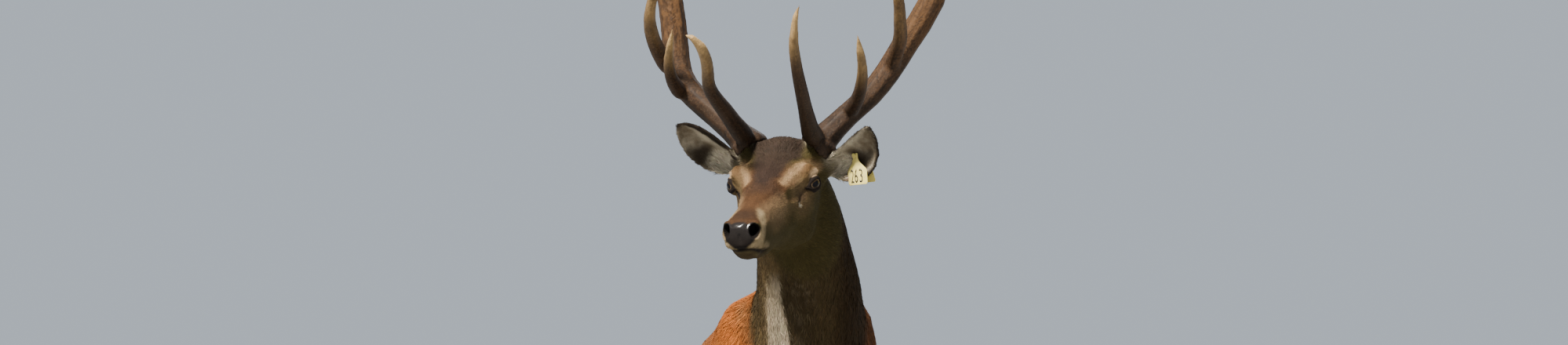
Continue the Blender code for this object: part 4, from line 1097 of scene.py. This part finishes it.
def hair_length(places, normals, parts):
    """Length of a tuft at each place."""
    coat = bpy.context.scene.stag_coat
    points, _ = mirrored(to_head(places))
    face = np.full(len(places), coat.face_hair)
    muzzle = smooth_step(points[:, 0], 0.09, 0.20)
    face = face * (1 - 0.55 * muzzle)
    face = face * (1 + 0.35 * patch(points, (-0.04, 0.0, 0.085), (0.075, 0.06, 0.05), 0.5))
    face = face * (1 + 0.45 * smooth_step(-points[:, 0], 0.0, 0.09))
    eye = np.linalg.norm(points - EYE_SPOT, axis=1)
    face = face * (0.42 + 0.58 * smooth_step(eye, EYE_RADIUS + 0.002, EYE_RADIUS + 0.020))
    down = smooth_step(neck_share(places), 0.05, 0.55)
    low = smooth_step(neck_share(places), 0.55, 0.80) * (1 - smooth_step(-normals[:, 1], 0.2, 0.8))
    front = 0.85 + 0.35 * smooth_step(-normals[:, 1], 0.1, 0.8)
    neck = coat.neck_hair * (0.42 + 0.58 * down) * front * (1 - 0.45 * low)
    trunk = coat.body_hair * (1 + 0.35 * smooth_step(-normals[:, 2], 0.5, 0.9))
    tail = np.full(len(places), 0.034)
    share, edge, inner, _ = ear_measures(places, normals)
    ear = 0.0046 + 0.0130 * inner * smooth_step(share, 0.46, 0.24) * smooth_step(edge, 1.0, 0.6)
    leg = coat.leg_hair * (0.62 + 0.55 * smooth_step(places[:, 2], 0.18, 0.65))
    lengths = np.stack((face, neck, trunk, tail, ear, leg), axis=1)
    return (lengths * parts).sum(axis=1)


def unwrap(made):
    """Unwraps a piece by its own shape into the map that its baked colours use."""
    made.data.uv_layers.new(name="OFBake")
    bpy.ops.object.select_all(action="DESELECT")
    made.select_set(True)
    bpy.context.view_layer.objects.active = made
    bpy.ops.object.mode_set(mode="EDIT")
    bpy.ops.mesh.select_all(action="SELECT")
    bpy.ops.uv.smart_project(angle_limit=math.radians(66), island_margin=0.001)
    bpy.ops.object.mode_set(mode="OBJECT")


class STAG_OT_skin(bpy.types.Operator):
    """Makes one skin over head, neck, trunk, tail, legs and ears"""

    bl_idname = "stag.skin"
    bl_label = "Skin"

    def execute(self, context):
        mesh = raw_skin()
        for reach in (0.022, 0.013):
            points, _ = mirrored(to_head(places_of(mesh)))
            eye = np.linalg.norm(points - EYE_SPOT, axis=1) < EYE_RADIUS + reach
            nose = (points[:, 0] > 0.300 - reach * 4) & (np.abs(points[:, 2] + 0.05) < 0.06)
            if reach < 0.02:
                nose &= np.linalg.norm(points - np.array((0.262, 0.028, -0.036)), axis=1) < 0.020
            finer(mesh, eye | nose)
        places, edges = places_of(mesh), edges_of(mesh)
        normals = normals_of(mesh)
        parts = spread(nearest_parts(places), edges, 36)
        sink = coat_depth(places, parts)
        fuller = parts[:, 1] * smooth_step(normals[:, 0], 0.1, 0.7)  # the left side of the neck
        fuller = fuller * smooth_step(neck_share(places), 0.15, 0.45)
        places = places + normals * (0.010 * fuller - sink)[:, None]
        places, margin = model_face(places, mesh)
        place(mesh, places)
        normals = normals_of(mesh)
        colour, bare, wet = markings(places, normals, parts, margin)
        store_colour(mesh, "coat_colour", colour)
        store(mesh, "lie", lie_of_coat(places, normals, parts))
        store(mesh, "hair", hair_length(places, normals, parts), "FLOAT")
        store(mesh, "bare", bare, "FLOAT")
        store(mesh, "wet", wet, "FLOAT")
        for k, part in enumerate(PARTS):
            store(mesh, part, parts[:, k], "FLOAT")
        unwrap(new_piece("stag_skin", mesh, skin_finish(), FLESH))
        return {"FINISHED"}


def skin_finish():
    """Short flat fur between the tufts, and the bare wet nose and lids."""
    finish = Finish("stag skin", Specular_IOR_Level=0.06, Coat_Roughness=0.14, Coat_IOR=1.45)
    where = finish.place()
    colour = finish.attribute("coat_colour")
    wet = finish.attribute("wet", "Fac")
    grain = finish.noise(where, 520.0, detail=3.0)
    pebble = finish.node("ShaderNodeTexVoronoi", None, Vector=where, Scale=620.0, output="Distance")
    # Darker where the grain's bump lies low: painted shade in the hollows between the short hairs
    dark = finish.mix(0.26 - 0.26 * grain, colour, (0.02, 0.012, 0.008))
    finish.feed("Base Color", dark)
    finish.feed("Roughness", 0.85 - 0.30 * wet + 0.10 * grain)
    finish.feed("Coat Weight", wet * 0.32)
    finish.bump(grain * (1.0 - wet) + wet * pebble * 0.45, 0.55, 0.0012)
    return finish.material


def tuft_finish():
    """The tufts' hair: the markings, a little lighter and rougher from hair to hair."""
    finish = Finish("stag coat", Specular_IOR_Level=0.07)
    where = finish.place()
    colour = finish.attribute("coat_colour")
    strand = finish.noise(where, 900.0, detail=2.0)
    lit = finish.mix(strand.between(0.35, 0.75) * 0.30, colour, (0.60, 0.52, 0.40), blend="SOFT_LIGHT")
    finish.feed("Base Color", lit)
    finish.feed("Roughness", 0.62 + 0.20 * strand)
    return finish.material


# Coat


def sow(mesh, weight, count, seed):
    """Roots scattered over the skin's triangles: the triangle and the shares of its corners."""
    rng = np.random.default_rng(seed)
    mesh.calc_loop_triangles()
    corners = read(mesh.loop_triangles, "vertices", 3, np.int64)
    loops = read(mesh.loop_triangles, "loops", 3, np.int64)
    places = places_of(mesh)
    a, b, c = (places[corners[:, k]] for k in range(3))
    area = np.linalg.norm(np.cross(b - a, c - a), axis=1) / 2
    share = area * weight[corners].mean(axis=1)
    chosen = rng.choice(len(corners), size=count, p=share / share.sum())
    first, second = rng.random(count), rng.random(count)
    flip = first + second > 1
    first[flip], second[flip] = 1 - first[flip], 1 - second[flip]
    shares = np.stack((1 - first - second, first, second), axis=1)
    return corners[chosen], loops[chosen], shares, rng


def blend_of(values, corners, shares):
    """Values at the roots, from the corners of their triangles."""
    return (values[corners] * shares[:, :, None]).sum(axis=1)


TUFT_DEPTH = 0.0003  # how deep a root stands in the skin at least
TUFT_BEND = 0.225  # share of its stand that a tuft loses towards its tip
TUFT_PATCH = 0.0014  # half the side of a tuft's square in the map


def tufts_over(region, count, slim, lift, rag, seed):
    """One mesh of tufts over a region of the skin. slim is their width by their length, lift is how far
    they stand up, and rag is how unevenly they lie."""
    skin = bpy.data.objects["stag_skin"].data
    coat = bpy.context.scene.stag_coat
    count = max(int(count * coat.thickness), 10)
    places, normals = places_of(skin), normals_of(skin)
    hair = fetch(skin, "hair", 1, "value")
    bare = fetch_share(skin, "bare")
    lie = fetch(skin, "lie", 3)
    paint = fetch(skin, "coat_colour", 4, "color")[:, :3]
    weight = region * np.clip(1 - 1.6 * bare, 0, 1) / hair[:, 0] ** 1.5
    corners, loops, shares, rng = sow(skin, weight, count, seed)
    root_map = blend_of(read(skin.uv_layers["OFBake"].data, "uv", 2, np.float32), loops, shares)
    root = blend_of(places, corners, shares)
    normal = unit(blend_of(normals, corners, shares))
    flow = blend_of(lie, corners, shares)
    flow = unit(flow - normal * (flow * normal).sum(axis=1, keepdims=True))
    length = blend_of(hair, corners, shares)[:, 0] * rng.uniform(0.70, 1.30, count)
    colour = blend_of(paint, corners, shares)
    across = np.cross(normal, flow)
    turn = rng.normal(0, 0.16 + rag * 0.3, count)[:, None]
    flow = unit(flow * np.cos(turn) + across * np.sin(turn))
    roll = rng.normal(0, 0.28, count)[:, None]
    across = np.cross(normal, flow)
    across = across * np.cos(roll) + normal * np.sin(roll)
    stand = (lift * rng.uniform(0.4, 1.6, count) + rag * 0.10 * rng.random(count) ** 3)[:, None]
    length = length[:, None]
    half = length * slim * rng.uniform(0.7, 1.3, (count, 1)) / 2
    bend = rng.normal(0, 0.10, (count, 1))
    foot = root - normal * (0.10 * length * stand + TUFT_DEPTH)
    middle = root + flow * 0.45 * length + normal * stand * 0.62 * length
    tip = root + (flow + across * bend) * length + normal * stand * (1.0 - TUFT_BEND) * length
    wide, narrow = across * half, across * half * 0.8
    blades = np.stack((foot - narrow, foot + narrow, middle - wide, middle + wide, tip), axis=1)
    tone = np.exp(rng.normal(0, 0.17, (count, 1)))
    warm = rng.normal(0, 0.03, (count, 3))
    base = np.clip(colour * tone * (1 + warm), 0, 1)
    # Each blade is darker at its root, as painted shade down between the hairs, and lighter at its tip, the
    # hair's own paler end
    blade_colours_root_shade = np.stack((base * 0.84, base * 0.84, base, base, base * 1.12), axis=1)
    return tuft_mesh(blades, np.clip(blade_colours_root_shade, 0, 1), root_map)


def tuft_mesh(blades, blade_colours_root_shade, root_map):
    """Joins blades of five corners each into one mesh with its colours and its map."""
    count = len(blades)
    mesh = bpy.data.meshes.new("tufts")
    mesh.vertices.add(count * 5)
    mesh.vertices.foreach_set("co", blades.astype(np.float32).ravel())
    pattern = np.array((0, 1, 3, 2, 2, 3, 4))
    around = (np.arange(count)[:, None] * 5 + pattern[None, :]).astype(np.int32)
    mesh.loops.add(count * 7)
    mesh.loops.foreach_set("vertex_index", around.ravel())
    mesh.polygons.add(count * 2)
    starts = (np.arange(count)[:, None] * 7 + np.array((0, 4))[None, :]).astype(np.int32)
    mesh.polygons.foreach_set("loop_start", starts.ravel())
    mesh.update(calc_edges=True)
    store_colour(mesh, "coat_colour", blade_colours_root_shade)
    spot = np.array(((-1, -1), (1, -1), (1, 0.1), (-1, 0.1), (-1, 0.1), (1, 0.1), (0, 1))) * TUFT_PATCH
    layer = mesh.uv_layers.new(name="OFBake")
    layer.data.foreach_set("uv", (root_map[:, None, :] + spot[None, :, :]).astype(np.float32).ravel())
    return mesh


class STAG_OT_coat(bpy.types.Operator):
    """Grows the tufts of the coat over the skin"""

    bl_idname = "stag.coat"
    bl_label = "Coat"

    def execute(self, context):
        finish = tuft_finish()
        skin = bpy.data.objects["stag_skin"].data
        head, neck, trunk, tail, ear, leg = (fetch_share(skin, part) for part in PARTS)
        places = places_of(skin)
        points, _ = mirrored(to_head(places))
        left = (places[:, 0] > COAT_PARTING).astype(float)
        right = 1 - left
        front = smooth_step(points[:, 0], 0.03, 0.05)
        for name, region, count, slim, lift, rag, seed in (
            ("face", head * front, 64000, 0.095, 0.062, 0.15, 11),
            ("crown", head * (1 - front), 64000, 0.085, 0.075, 0.20, 12),
            ("neck_left", neck * left, 62000, 0.060, 0.075, 0.25, 21),
            ("neck_right", neck * right, 62000, 0.060, 0.075, 0.25, 22),
            ("trunk_left", trunk * left, 65000, 0.105, 0.055, 0.20, 31),
            ("trunk_right", trunk * right, 65000, 0.105, 0.055, 0.20, 32),
            ("legs", leg, 65000, 0.120, 0.050, 0.20, 41),
            ("ears", ear, 36000, 0.075, 0.140, 0.40, 51),
            ("tail", tail, 6000, 0.070, 0.140, 0.50, 61),
        ):
            mesh = tufts_over(region, count, slim, lift, rag, seed)
            new_piece("coat_" + name, mesh, finish)
        return {"FINISHED"}


# Eyes


CORNEA_WIDTH = 0.66  # share of the eyeball's width
CORNEA_RISE = 0.0012


class STAG_OT_eyes(bpy.types.Operator):
    """Makes both eyes with a level pupil, iris and clear front"""

    bl_idname = "stag.eyes"
    bl_label = "Eyes"

    def execute(self, context):
        finish = eye_finish()
        for side, sign in SIDES.items():
            out = Vector(head_way(EYE_GAZE[0], sign * EYE_GAZE[1], EYE_GAZE[2])).normalized()
            ahead = Vector(head_way(1.0, 0.0, -SLIT_SLOPE))
            ahead = (ahead - out * ahead.dot(out)).normalized()
            up = out.cross(ahead) * -sign
            turn = Matrix((ahead, up, out)).transposed().to_4x4()
            shape = bmesh.new()
            bmesh.ops.create_uvsphere(shape, u_segments=72, v_segments=48, radius=EYE_RADIUS)
            gaze = []
            for vertex in shape.verts:
                share = math.hypot(vertex.co.x, vertex.co.y) / (CORNEA_WIDTH * EYE_RADIUS)
                if vertex.co.z > 0 and share < 1:
                    vertex.co.z += CORNEA_RISE * (1 - share * share) ** 1.5
                gaze.append(tuple(vertex.co / EYE_RADIUS))
            spot = Matrix.Translation(EYE_CENTRES[side])
            bmesh.ops.transform(shape, matrix=spot @ turn, verts=shape.verts)
            if turn.to_3x3().determinant() < 0:
                bmesh.ops.reverse_faces(shape, faces=shape.faces)
            made = new_piece(f"stag_eye_{side}", shape, finish, [f"eye_{side}"])
            store(made.data, "gaze", np.array(gaze))
        return {"FINISHED"}


def eye_finish():
    """A level pupil in a brown iris, by the place on the eyeball as seen from ahead of it."""
    eye = bpy.context.scene.stag_eyes
    finish = Finish("stag eye", Specular_IOR_Level=0.08)
    gaze = finish.attribute("gaze", "Vector")
    x, y = finish.parts(gaze, 0, 1)
    round_way = (x * x + y * y) ** 0.5
    pupil = (x * x * 5.2 + y * y * 16.0) ** 0.5
    rays = finish.noise(gaze, 14.0, detail=4.0)
    iris = finish.mix(rays.between(0.35, 0.65), tuple(v * 0.5 for v in eye.iris), eye.iris)
    band_in = finish.mix(round_way.between(0.40, 0.46), iris, tuple(v * 2.6 + 0.006 for v in eye.iris))
    band_out = finish.mix(round_way.between(0.50, 0.56), band_in, (0.008, 0.006, 0.005))
    whole = finish.mix(pupil.between(1.10, 0.98), band_out, eye.pupil)
    finish.feed("Base Color", whole)
    finish.feed("Roughness", 0.03 + 0.03 * rays)
    return finish.material


# Antlers

ANTLER_GRID = 0.0027
POLISHED = 0.16  # the tips' polish fades out over this length
TAPERED = 0.27  # the tines are drawn in over this length
TAPER = 0.27  # share of its thickness that a tine's tip loses at most
BURR_SPOT = (-0.092, 0.067, 0.060)  # the middle of the left burr in head measures
BEAMS = ("beam_lower", "beam_upper")
TINES = ("brow_tine", "bez_tine", "trez_tine", "crown_top", "crown_front", "crown_outer")


class STAG_OT_antlers(bpy.types.Operator):
    """Makes both antlers as one grown bone each, grooved, pearled and worn pale at the tips"""

    bl_idname = "stag.antlers"
    bl_label = "Antlers"

    def execute(self, context):
        finish = antler_finish()
        for side in SIDES:
            make_antler(side, finish)
        return {"FINISHED"}


def make_antler(side, finish):
    """One antler: its CAD nodes grown together, with slimmer tines, grooves, pearls and colours."""
    setting = bpy.context.scene.stag_antlers
    nodes = [f"antler_{side}_{part}" for part in BEAMS + TINES]
    shape = cad_shape(nodes, swell=0.0004)
    round_off(shape, side)
    mesh = through_modifier(shape, "REMESH", mode="VOXEL", voxel_size=ANTLER_GRID)
    largest_part(mesh)
    places, edges = places_of(mesh), edges_of(mesh)
    places = fair(places, edges, 110)
    core = spread(places, edges, 90)
    tip = tips_of(places, side, POLISHED)
    narrow = TAPER * smooth_step(tips_of(places, side, TAPERED), 0.05, 0.60)
    places = places - (places - core) * narrow[:, None]
    arm = places - core
    place(mesh, places)
    normals = normals_of(mesh)
    girth = np.linalg.norm(arm, axis=1)
    burr_middle = from_head(np.array([BURR_SPOT]) * (1, SIDES[side], 1))[0]
    reach = np.linalg.norm(places - burr_middle, axis=1)
    around = unit(arm)
    ways = [(Vector(way), Vector(middle)) for way, middle in zip(around, core)]
    groove = np.array([noise.noise(way * 4.0 + middle * 6.0) for way, middle in ways])
    fine = np.array([noise.noise(way * 11.0 + middle * 8.0) for way, middle in ways])
    cells = np.array([noise.voronoi(Vector(p) * 190.0)[0][0] for p in places])
    near = smooth_step(reach, 0.30, 0.05)
    burr = np.exp(-((reach - 0.030) / 0.016) ** 2)
    thick = smooth_step(girth, 0.003, 0.012) * (1 - 0.9 * tip)
    furrow = np.exp(-((groove / 0.10) ** 2))
    dent = -furrow * setting.groove * (1.3 + 0.8 * near) + fine * setting.groove * 0.9
    pearl = (0.42 - np.clip(cells, 0, 0.42)) / 0.42 * setting.pearl * (0.04 + 0.6 * near) * (0.5 + burr)
    slim = smooth_step(girth, 0.014, 0.008) * 0.0011
    places = places + normals * (thick * (dent + pearl - slim) + burr * 0.0010)[:, None]
    place(mesh, places)
    height = smooth_step(places[:, 2], burr_middle[2] + 0.02, burr_middle[2] + 0.30)
    paints = (setting.low_brown, setting.mid_brown, setting.tip_tan)
    low_brown, mid_brown, tan = (np.array(paint) for paint in paints)
    colour = low_brown * (1 - height[:, None]) + mid_brown * height[:, None]
    streak = np.clip(0.5 + 1.5 * fine, 0, 1)[:, None]
    colour = colour * (0.50 + 1.00 * streak) * (1 - 0.72 * (furrow * thick)[:, None])
    colour = colour * (1 - tip[:, None]) + tan * tip[:, None] * (0.8 + 0.4 * streak)
    store_colour(mesh, "bone_colour", np.clip(colour, 0, 1))
    store(mesh, "worn", tip, "FLOAT")
    new_piece(f"stag_antler_{side}", mesh, finish, nodes)


def round_off(shape, side):
    """Bends the straight runs of the free tines into curves. Their points and roots stay."""
    beams = bmesh.new()
    for part in BEAMS + TINES:
        if "tine" not in part:
            beams.from_mesh(frame["nodes"][f"antler_{side}_{part}"].data)
    tree = BVHTree.FromBMesh(beams)
    beams.free()
    for _ in range(2):
        shape.verts.index_update()
        spots = np.array([vertex.co[:] for vertex in shape.verts])
        clear = np.array([tree.find_nearest(vertex.co)[3] for vertex in shape.verts]) > 0.006
        free = clear & (tips_of(spots, side, POLISHED) < 0.93)
        cut = [edge for edge in shape.edges if free[edge.verts[0].index] and free[edge.verts[1].index]]
        bmesh.ops.subdivide_edges(shape, edges=cut, cuts=1, smooth=0.62, use_grid_fill=True)
        bmesh.ops.triangulate(shape, faces=[face for face in shape.faces if len(face.verts) > 3])


def tips_of(places, side, length):
    """1 at the ends of the tines, fading to 0 over a length."""
    spots = {part: places_of(frame["nodes"][f"antler_{side}_{part}"].data) for part in BEAMS + TINES}
    beam = np.concatenate([spots[part] for part in BEAMS])
    tip = np.zeros(len(places))
    for part in TINES:
        points = spots[part]
        away = np.linalg.norm(points[:, None, :] - beam[None, :, :], axis=2).min(axis=1)
        end = points[away.argmax()]
        near = np.linalg.norm(places - end, axis=1)
        tip = np.maximum(tip, smooth_step(near, min(length, away.max() * 0.85), 0.010))
    return tip


def antler_finish():
    """Stained bone with dust in its grain, smoother at the worn tips."""
    finish = Finish("stag antler", Specular_IOR_Level=0.17)
    where = finish.place()
    colour = finish.attribute("bone_colour")
    worn = finish.attribute("worn", "Fac")
    grain = finish.noise(where, 260.0, detail=5.0)
    blotch = finish.noise(where, 30.0, detail=3.0)
    stained = finish.mix(0.55 * blotch.between(0.42, 0.72), colour, (0.030, 0.016, 0.008))
    dusty = finish.mix(0.07 * grain.between(0.50, 0.75), stained, (0.34, 0.25, 0.16))
    finish.feed("Base Color", dusty)
    finish.feed("Roughness", 0.58 - 0.22 * worn + 0.18 * grain)
    finish.bump(grain, 0.35, 0.0012)
    return finish.material


# Hooves

HOOF_GRID = 0.0022
SOLE_HEIGHT = 0.0030  # what lies lower than this is pressed flat onto the floor
RING_DEPTH = 0.00035
RING_TURNS = 900.0  # radians of the rings' wave in a metre of height


class STAG_OT_hooves(bpy.types.Operator):
    """Makes the eight claws of the feet with rounded walls and growth rings"""

    bl_idname = "stag.hooves"
    bl_label = "Hooves"

    def execute(self, context):
        nodes = [name for name in sorted(frame["nodes"]) if name.startswith("hoof_")]
        shape = cad_shape(nodes)
        mesh = through_modifier(shape, "REMESH", mode="VOXEL", voxel_size=HOOF_GRID)
        places, edges = places_of(mesh), edges_of(mesh)
        sole = places[:, 2] < SOLE_HEIGHT
        places = fair(places, edges, 14)
        normals = normals_of(mesh)
        ring = np.sin(places[:, 2] * RING_TURNS + 1.5 * ripple(places, 60.0)) * RING_DEPTH
        places = places + normals * (ring * smooth_step(places[:, 2], 0.004, 0.010))[:, None]
        places[:, 2] = np.where(sole, 0.0, np.maximum(places[:, 2], 0.0))
        place(mesh, places)
        finish = Finish("stag hoof", Specular_IOR_Level=0.2)
        where = finish.place()
        streak = finish.noise(where, 120.0, detail=4.0)
        height = finish.parts(where, 2)[0]
        horn = finish.mix(streak.between(0.35, 0.70), (0.008, 0.006, 0.005), (0.030, 0.022, 0.016))
        worn = finish.mix(height.between(0.016, 0.0) * 0.6, horn, (0.060, 0.045, 0.032))
        finish.feed("Base Color", worn)
        finish.feed("Roughness", 0.42 + 0.30 * streak)
        finish.bump(streak, 0.3, 0.001)
        new_piece("stag_hooves", mesh, finish.material, nodes)
        return {"FINISHED"}


# Ear tag

CREASE = 0.10  # the flag's crease is this share of half its width past the middle
NUMBER_FOOT = 0.0045  # the number stands this far over the flag's lower edge
INK_GAP = 0.00005
NUMBER_SIZE = (0.0205, 0.0370, 0.00035)  # across and up for a letter of one metre, and the ink's thickness


class STAG_OT_tag(bpy.types.Operator):
    """Remakes the front flag of the ear tag with its crease, prints a plain number on it and gives both
    flags their plastic
    """

    bl_idname = "stag.tag"
    bl_label = "Ear tag"

    def execute(self, context):
        setting = context.scene.stag_tag
        finish = Finish("tag plastic", Specular_IOR_Level=0.45)
        where = finish.place()
        soil = finish.noise(where, 90.0, detail=5.0)
        scratch = finish.noise(where, 700.0, detail=2.0)
        dirty = finish.mix(soil.between(0.48, 0.80) * 0.55, setting.plastic, (0.30, 0.24, 0.12))
        finish.feed("Base Color", dirty)
        finish.feed("Roughness", 0.40 + 0.25 * soil)
        finish.bump(scratch, 0.12, 0.0006)
        slots = frame["nodes"]["tag_back"].data.materials
        slots.clear()
        slots.append(finish.material)
        foot, along, up, out, width = flag_ways("tag_front")
        shape = cad_shape(["tag_front"])
        crease = foot + along * width * CREASE
        fold(shape, crease, along, up, setting.fold, 0.00005)
        sharp = [edge for edge in shape.edges if edge.is_manifold and edge.calc_face_angle() > 0.7]
        bmesh.ops.bevel(
            shape, geom=sharp, offset=0.00035, segments=2, profile=0.5, affect="EDGES", material=-1
        )
        new_piece("tag_flag", shape, finish.material, ["tag_front"])
        make_number(setting, foot, along, up, out, crease)
        return {"FINISHED"}


def fold(shape, crease, along, up, angle, past):
    """Cuts a shape at its crease and turns what lies past it."""
    cut = shape.verts[:] + shape.edges[:] + shape.faces[:]
    bmesh.ops.bisect_plane(shape, geom=cut, plane_co=crease, plane_no=along, dist=0.00002)
    turned = [vertex for vertex in shape.verts if (vertex.co - crease).dot(along) > past]
    bmesh.ops.rotate(shape, verts=turned, cent=crease, matrix=Matrix.Rotation(angle, 3, up))


def flag_ways(node):
    """The middle of a flag's lower edge, the ways along, up and out of its face, and half its width."""
    shape = cad_shape([node])
    facing = max(shape.faces, key=lambda face: face.calc_area() * (1 if face.normal.y < 0 else 0.5))
    out = facing.normal.copy()
    flat = [face for face in shape.faces if face.normal.dot(out) > 0.999]
    points = [vertex.co.copy() for face in flat for vertex in face.verts]
    shape.free()
    up = Vector((0, 0, 1))
    up = (up - out * up.dot(out)).normalized()
    along = up.cross(out)
    levels = [point.dot(up) for point in points]
    low = min(levels)
    widths = [point.dot(along) for point in points]
    middle = (min(widths) + max(widths)) / 2
    plane = max(point.dot(out) for point in points)
    return along * middle + up * low + out * plane, along, up, out, (max(widths) - min(widths)) / 2


def make_number(setting, foot, along, up, out, crease):
    """Prints the number as thin raised ink on the front flag, bent with its crease."""
    curve = bpy.data.curves.new("number", "FONT")
    curve.body = setting.number
    curve.align_x = "CENTER"
    curve.space_character = 1.12
    text = linked("number", curve)
    mesh = bpy.data.meshes.new_from_object(text.evaluated_get(bpy.context.evaluated_depsgraph_get()))
    bpy.data.objects.remove(text)
    shape = bmesh.new()
    shape.from_mesh(mesh)
    bmesh.ops.remove_doubles(shape, verts=shape.verts, dist=0.0001)
    grown = bmesh.ops.extrude_face_region(shape, geom=shape.faces[:])
    raised = [item for item in grown["geom"] if isinstance(item, bmesh.types.BMVert)]
    bmesh.ops.translate(shape, verts=raised, vec=(0, 0, 1))
    bmesh.ops.recalc_face_normals(shape, faces=shape.faces)
    bmesh.ops.scale(shape, vec=NUMBER_SIZE, verts=shape.verts)
    turn = Matrix((along, up, out)).transposed().to_4x4()
    spot = Matrix.Translation(foot + up * NUMBER_FOOT + out * INK_GAP)
    bmesh.ops.transform(shape, matrix=spot @ turn, verts=shape.verts)
    fold(shape, crease, along, up, setting.fold, 0.00002)
    finish = Finish("tag ink", Roughness=0.5)
    worn = finish.noise(finish.place(), 900.0)
    finish.feed("Base Color", finish.mix(worn.between(0.62, 0.80) * 0.8, setting.ink, setting.plastic))
    new_piece("tag_number", shape, finish.material)


# Floor, lights and camera

BACKDROP_STRENGTH = 0.78
KEY_STRENGTH = 16.5
KEY_SOFTNESS = math.radians(9)
KEY_COLOUR = (1.0, 0.955, 0.88)
KEY_WAY = Vector((2.15, 2.95, -4.2))  # the way the key light falls
LAMPS = (  # name, place from the neck, size, power, colour
    ("fill", (3.4, -3.0, 1.0), 3.5, 14, (0.92, 0.96, 1.0)),
    ("back", (1.5, 3.9, 2.6), 2.4, 60, (0.96, 0.98, 1.0)),
)
CAMERA_BEARING = math.radians(5.5)  # the camera stands this far to the stag's right of straight ahead
LOOK_ASIDE = math.radians(0.157976)  # the camera looks this far to the right of the eyes
LOOK_ABOVE = math.radians(0.212207)  # and this far above them


class STAG_OT_stage(bpy.types.Operator):
    """Sets the floor, the soft lights and the camera"""

    bl_idname = "stag.stage"
    bl_label = "Stage"

    def execute(self, context):
        setting = context.scene.stag_stage
        shape = bmesh.new()
        bmesh.ops.create_grid(shape, x_segments=1, y_segments=1, size=30.0)
        finish = Finish("floor", Roughness=0.85, Specular_IOR_Level=0.2)
        grain = finish.noise(finish.place(), 3.0)
        finish.feed("Base Color", finish.mix(grain * 0.06, setting.floor, (0.70, 0.70, 0.70)))
        floor = linked("floor", mesh_of(shape, "floor"))
        floor.data.materials.append(finish.material)
        world = bpy.data.worlds.new("backdrop")
        world.use_nodes = True
        backdrop = world.node_tree.nodes["Background"]
        backdrop.inputs["Color"].default_value = (*setting.sky, 1)
        backdrop.inputs["Strength"].default_value = BACKDROP_STRENGTH
        context.scene.world = world
        sun = bpy.data.lights.new("key", "SUN")
        sun.energy = KEY_STRENGTH
        sun.angle = KEY_SOFTNESS
        sun.color = KEY_COLOUR
        aim(linked("key", sun), KEY_WAY)
        focus = BETWEEN_EYES + Vector((0.05, 0.3, -0.3))
        for name, away, size, power, colour in LAMPS:
            lamp = bpy.data.lights.new(name, "AREA")
            lamp.shape = "DISK"
            lamp.size = size
            lamp.energy = power
            lamp.color = colour
            made = linked(name, lamp)
            made.location = focus + Vector(away)
            aim(made, focus - made.location)
        self.camera(context, setting)
        return {"FINISHED"}

    def camera(self, context, setting):
        rise = math.atan2(setting.drop, setting.distance) + LOOK_ABOVE
        away = Vector((-math.sin(CAMERA_BEARING), -math.cos(CAMERA_BEARING), 0))
        look = Matrix.Rotation(-LOOK_ASIDE, 3, "Z") @ -away
        lens = bpy.data.cameras.new("camera")
        lens.lens = setting.focal
        lens.clip_start = 0.05
        made = linked("camera", lens)
        made.location = BETWEEN_EYES + away * setting.distance - Vector((0, 0, setting.drop))
        aim(made, Vector((look.x * math.cos(rise), look.y * math.cos(rise), math.sin(rise))))
        context.scene.camera = made


def aim(made, way):
    """Turns a lamp or the camera to look along a way."""
    made.rotation_euler = way.to_track_quat("-Z", "Y").to_euler()


class STAG_PT_panel(bpy.types.Panel):
    """Lists the stag's pieces and settings in the sidebar"""

    bl_idname = "STAG_PT_panel"
    bl_label = "Red Deer Stag"
    bl_space_type = "VIEW_3D"
    bl_region_type = "UI"
    bl_category = "Stag"

    def draw(self, context):
        layout = self.layout
        for operator in STEPS:
            layout.operator(operator.bl_idname)
        for name, group in SETTINGS.items():
            box = layout.box()
            for field in group.__annotations__:
                box.prop(getattr(context.scene, name), field)


STEPS = (
    STAG_OT_skin,
    STAG_OT_eyes,
    STAG_OT_coat,
    STAG_OT_antlers,
    STAG_OT_hooves,
    STAG_OT_tag,
    STAG_OT_stage,
)
SETTINGS = {
    "stag_coat": StagCoatSettings,
    "stag_antlers": StagAntlerSettings,
    "stag_eyes": StagEyeSettings,
    "stag_tag": StagTagSettings,
    "stag_stage": StagStageSettings,
}


def register():
    for made in (*SETTINGS.values(), *STEPS, STAG_PT_panel):
        bpy.utils.register_class(made)
    for name, group in SETTINGS.items():
        setattr(bpy.types.Scene, name, bpy.props.PointerProperty(type=group))


def unregister():
    for name in SETTINGS:
        delattr(bpy.types.Scene, name)
    for made in reversed((*SETTINGS.values(), *STEPS, STAG_PT_panel)):
        bpy.utils.unregister_class(made)


def main():
    register()
    bpy.ops.stag.skin()
    bpy.ops.stag.eyes()
    bpy.ops.stag.coat()
    bpy.ops.stag.antlers()
    bpy.ops.stag.hooves()
    bpy.ops.stag.tag()
    bpy.ops.stag.stage()


if __name__ == "__main__":
    main()
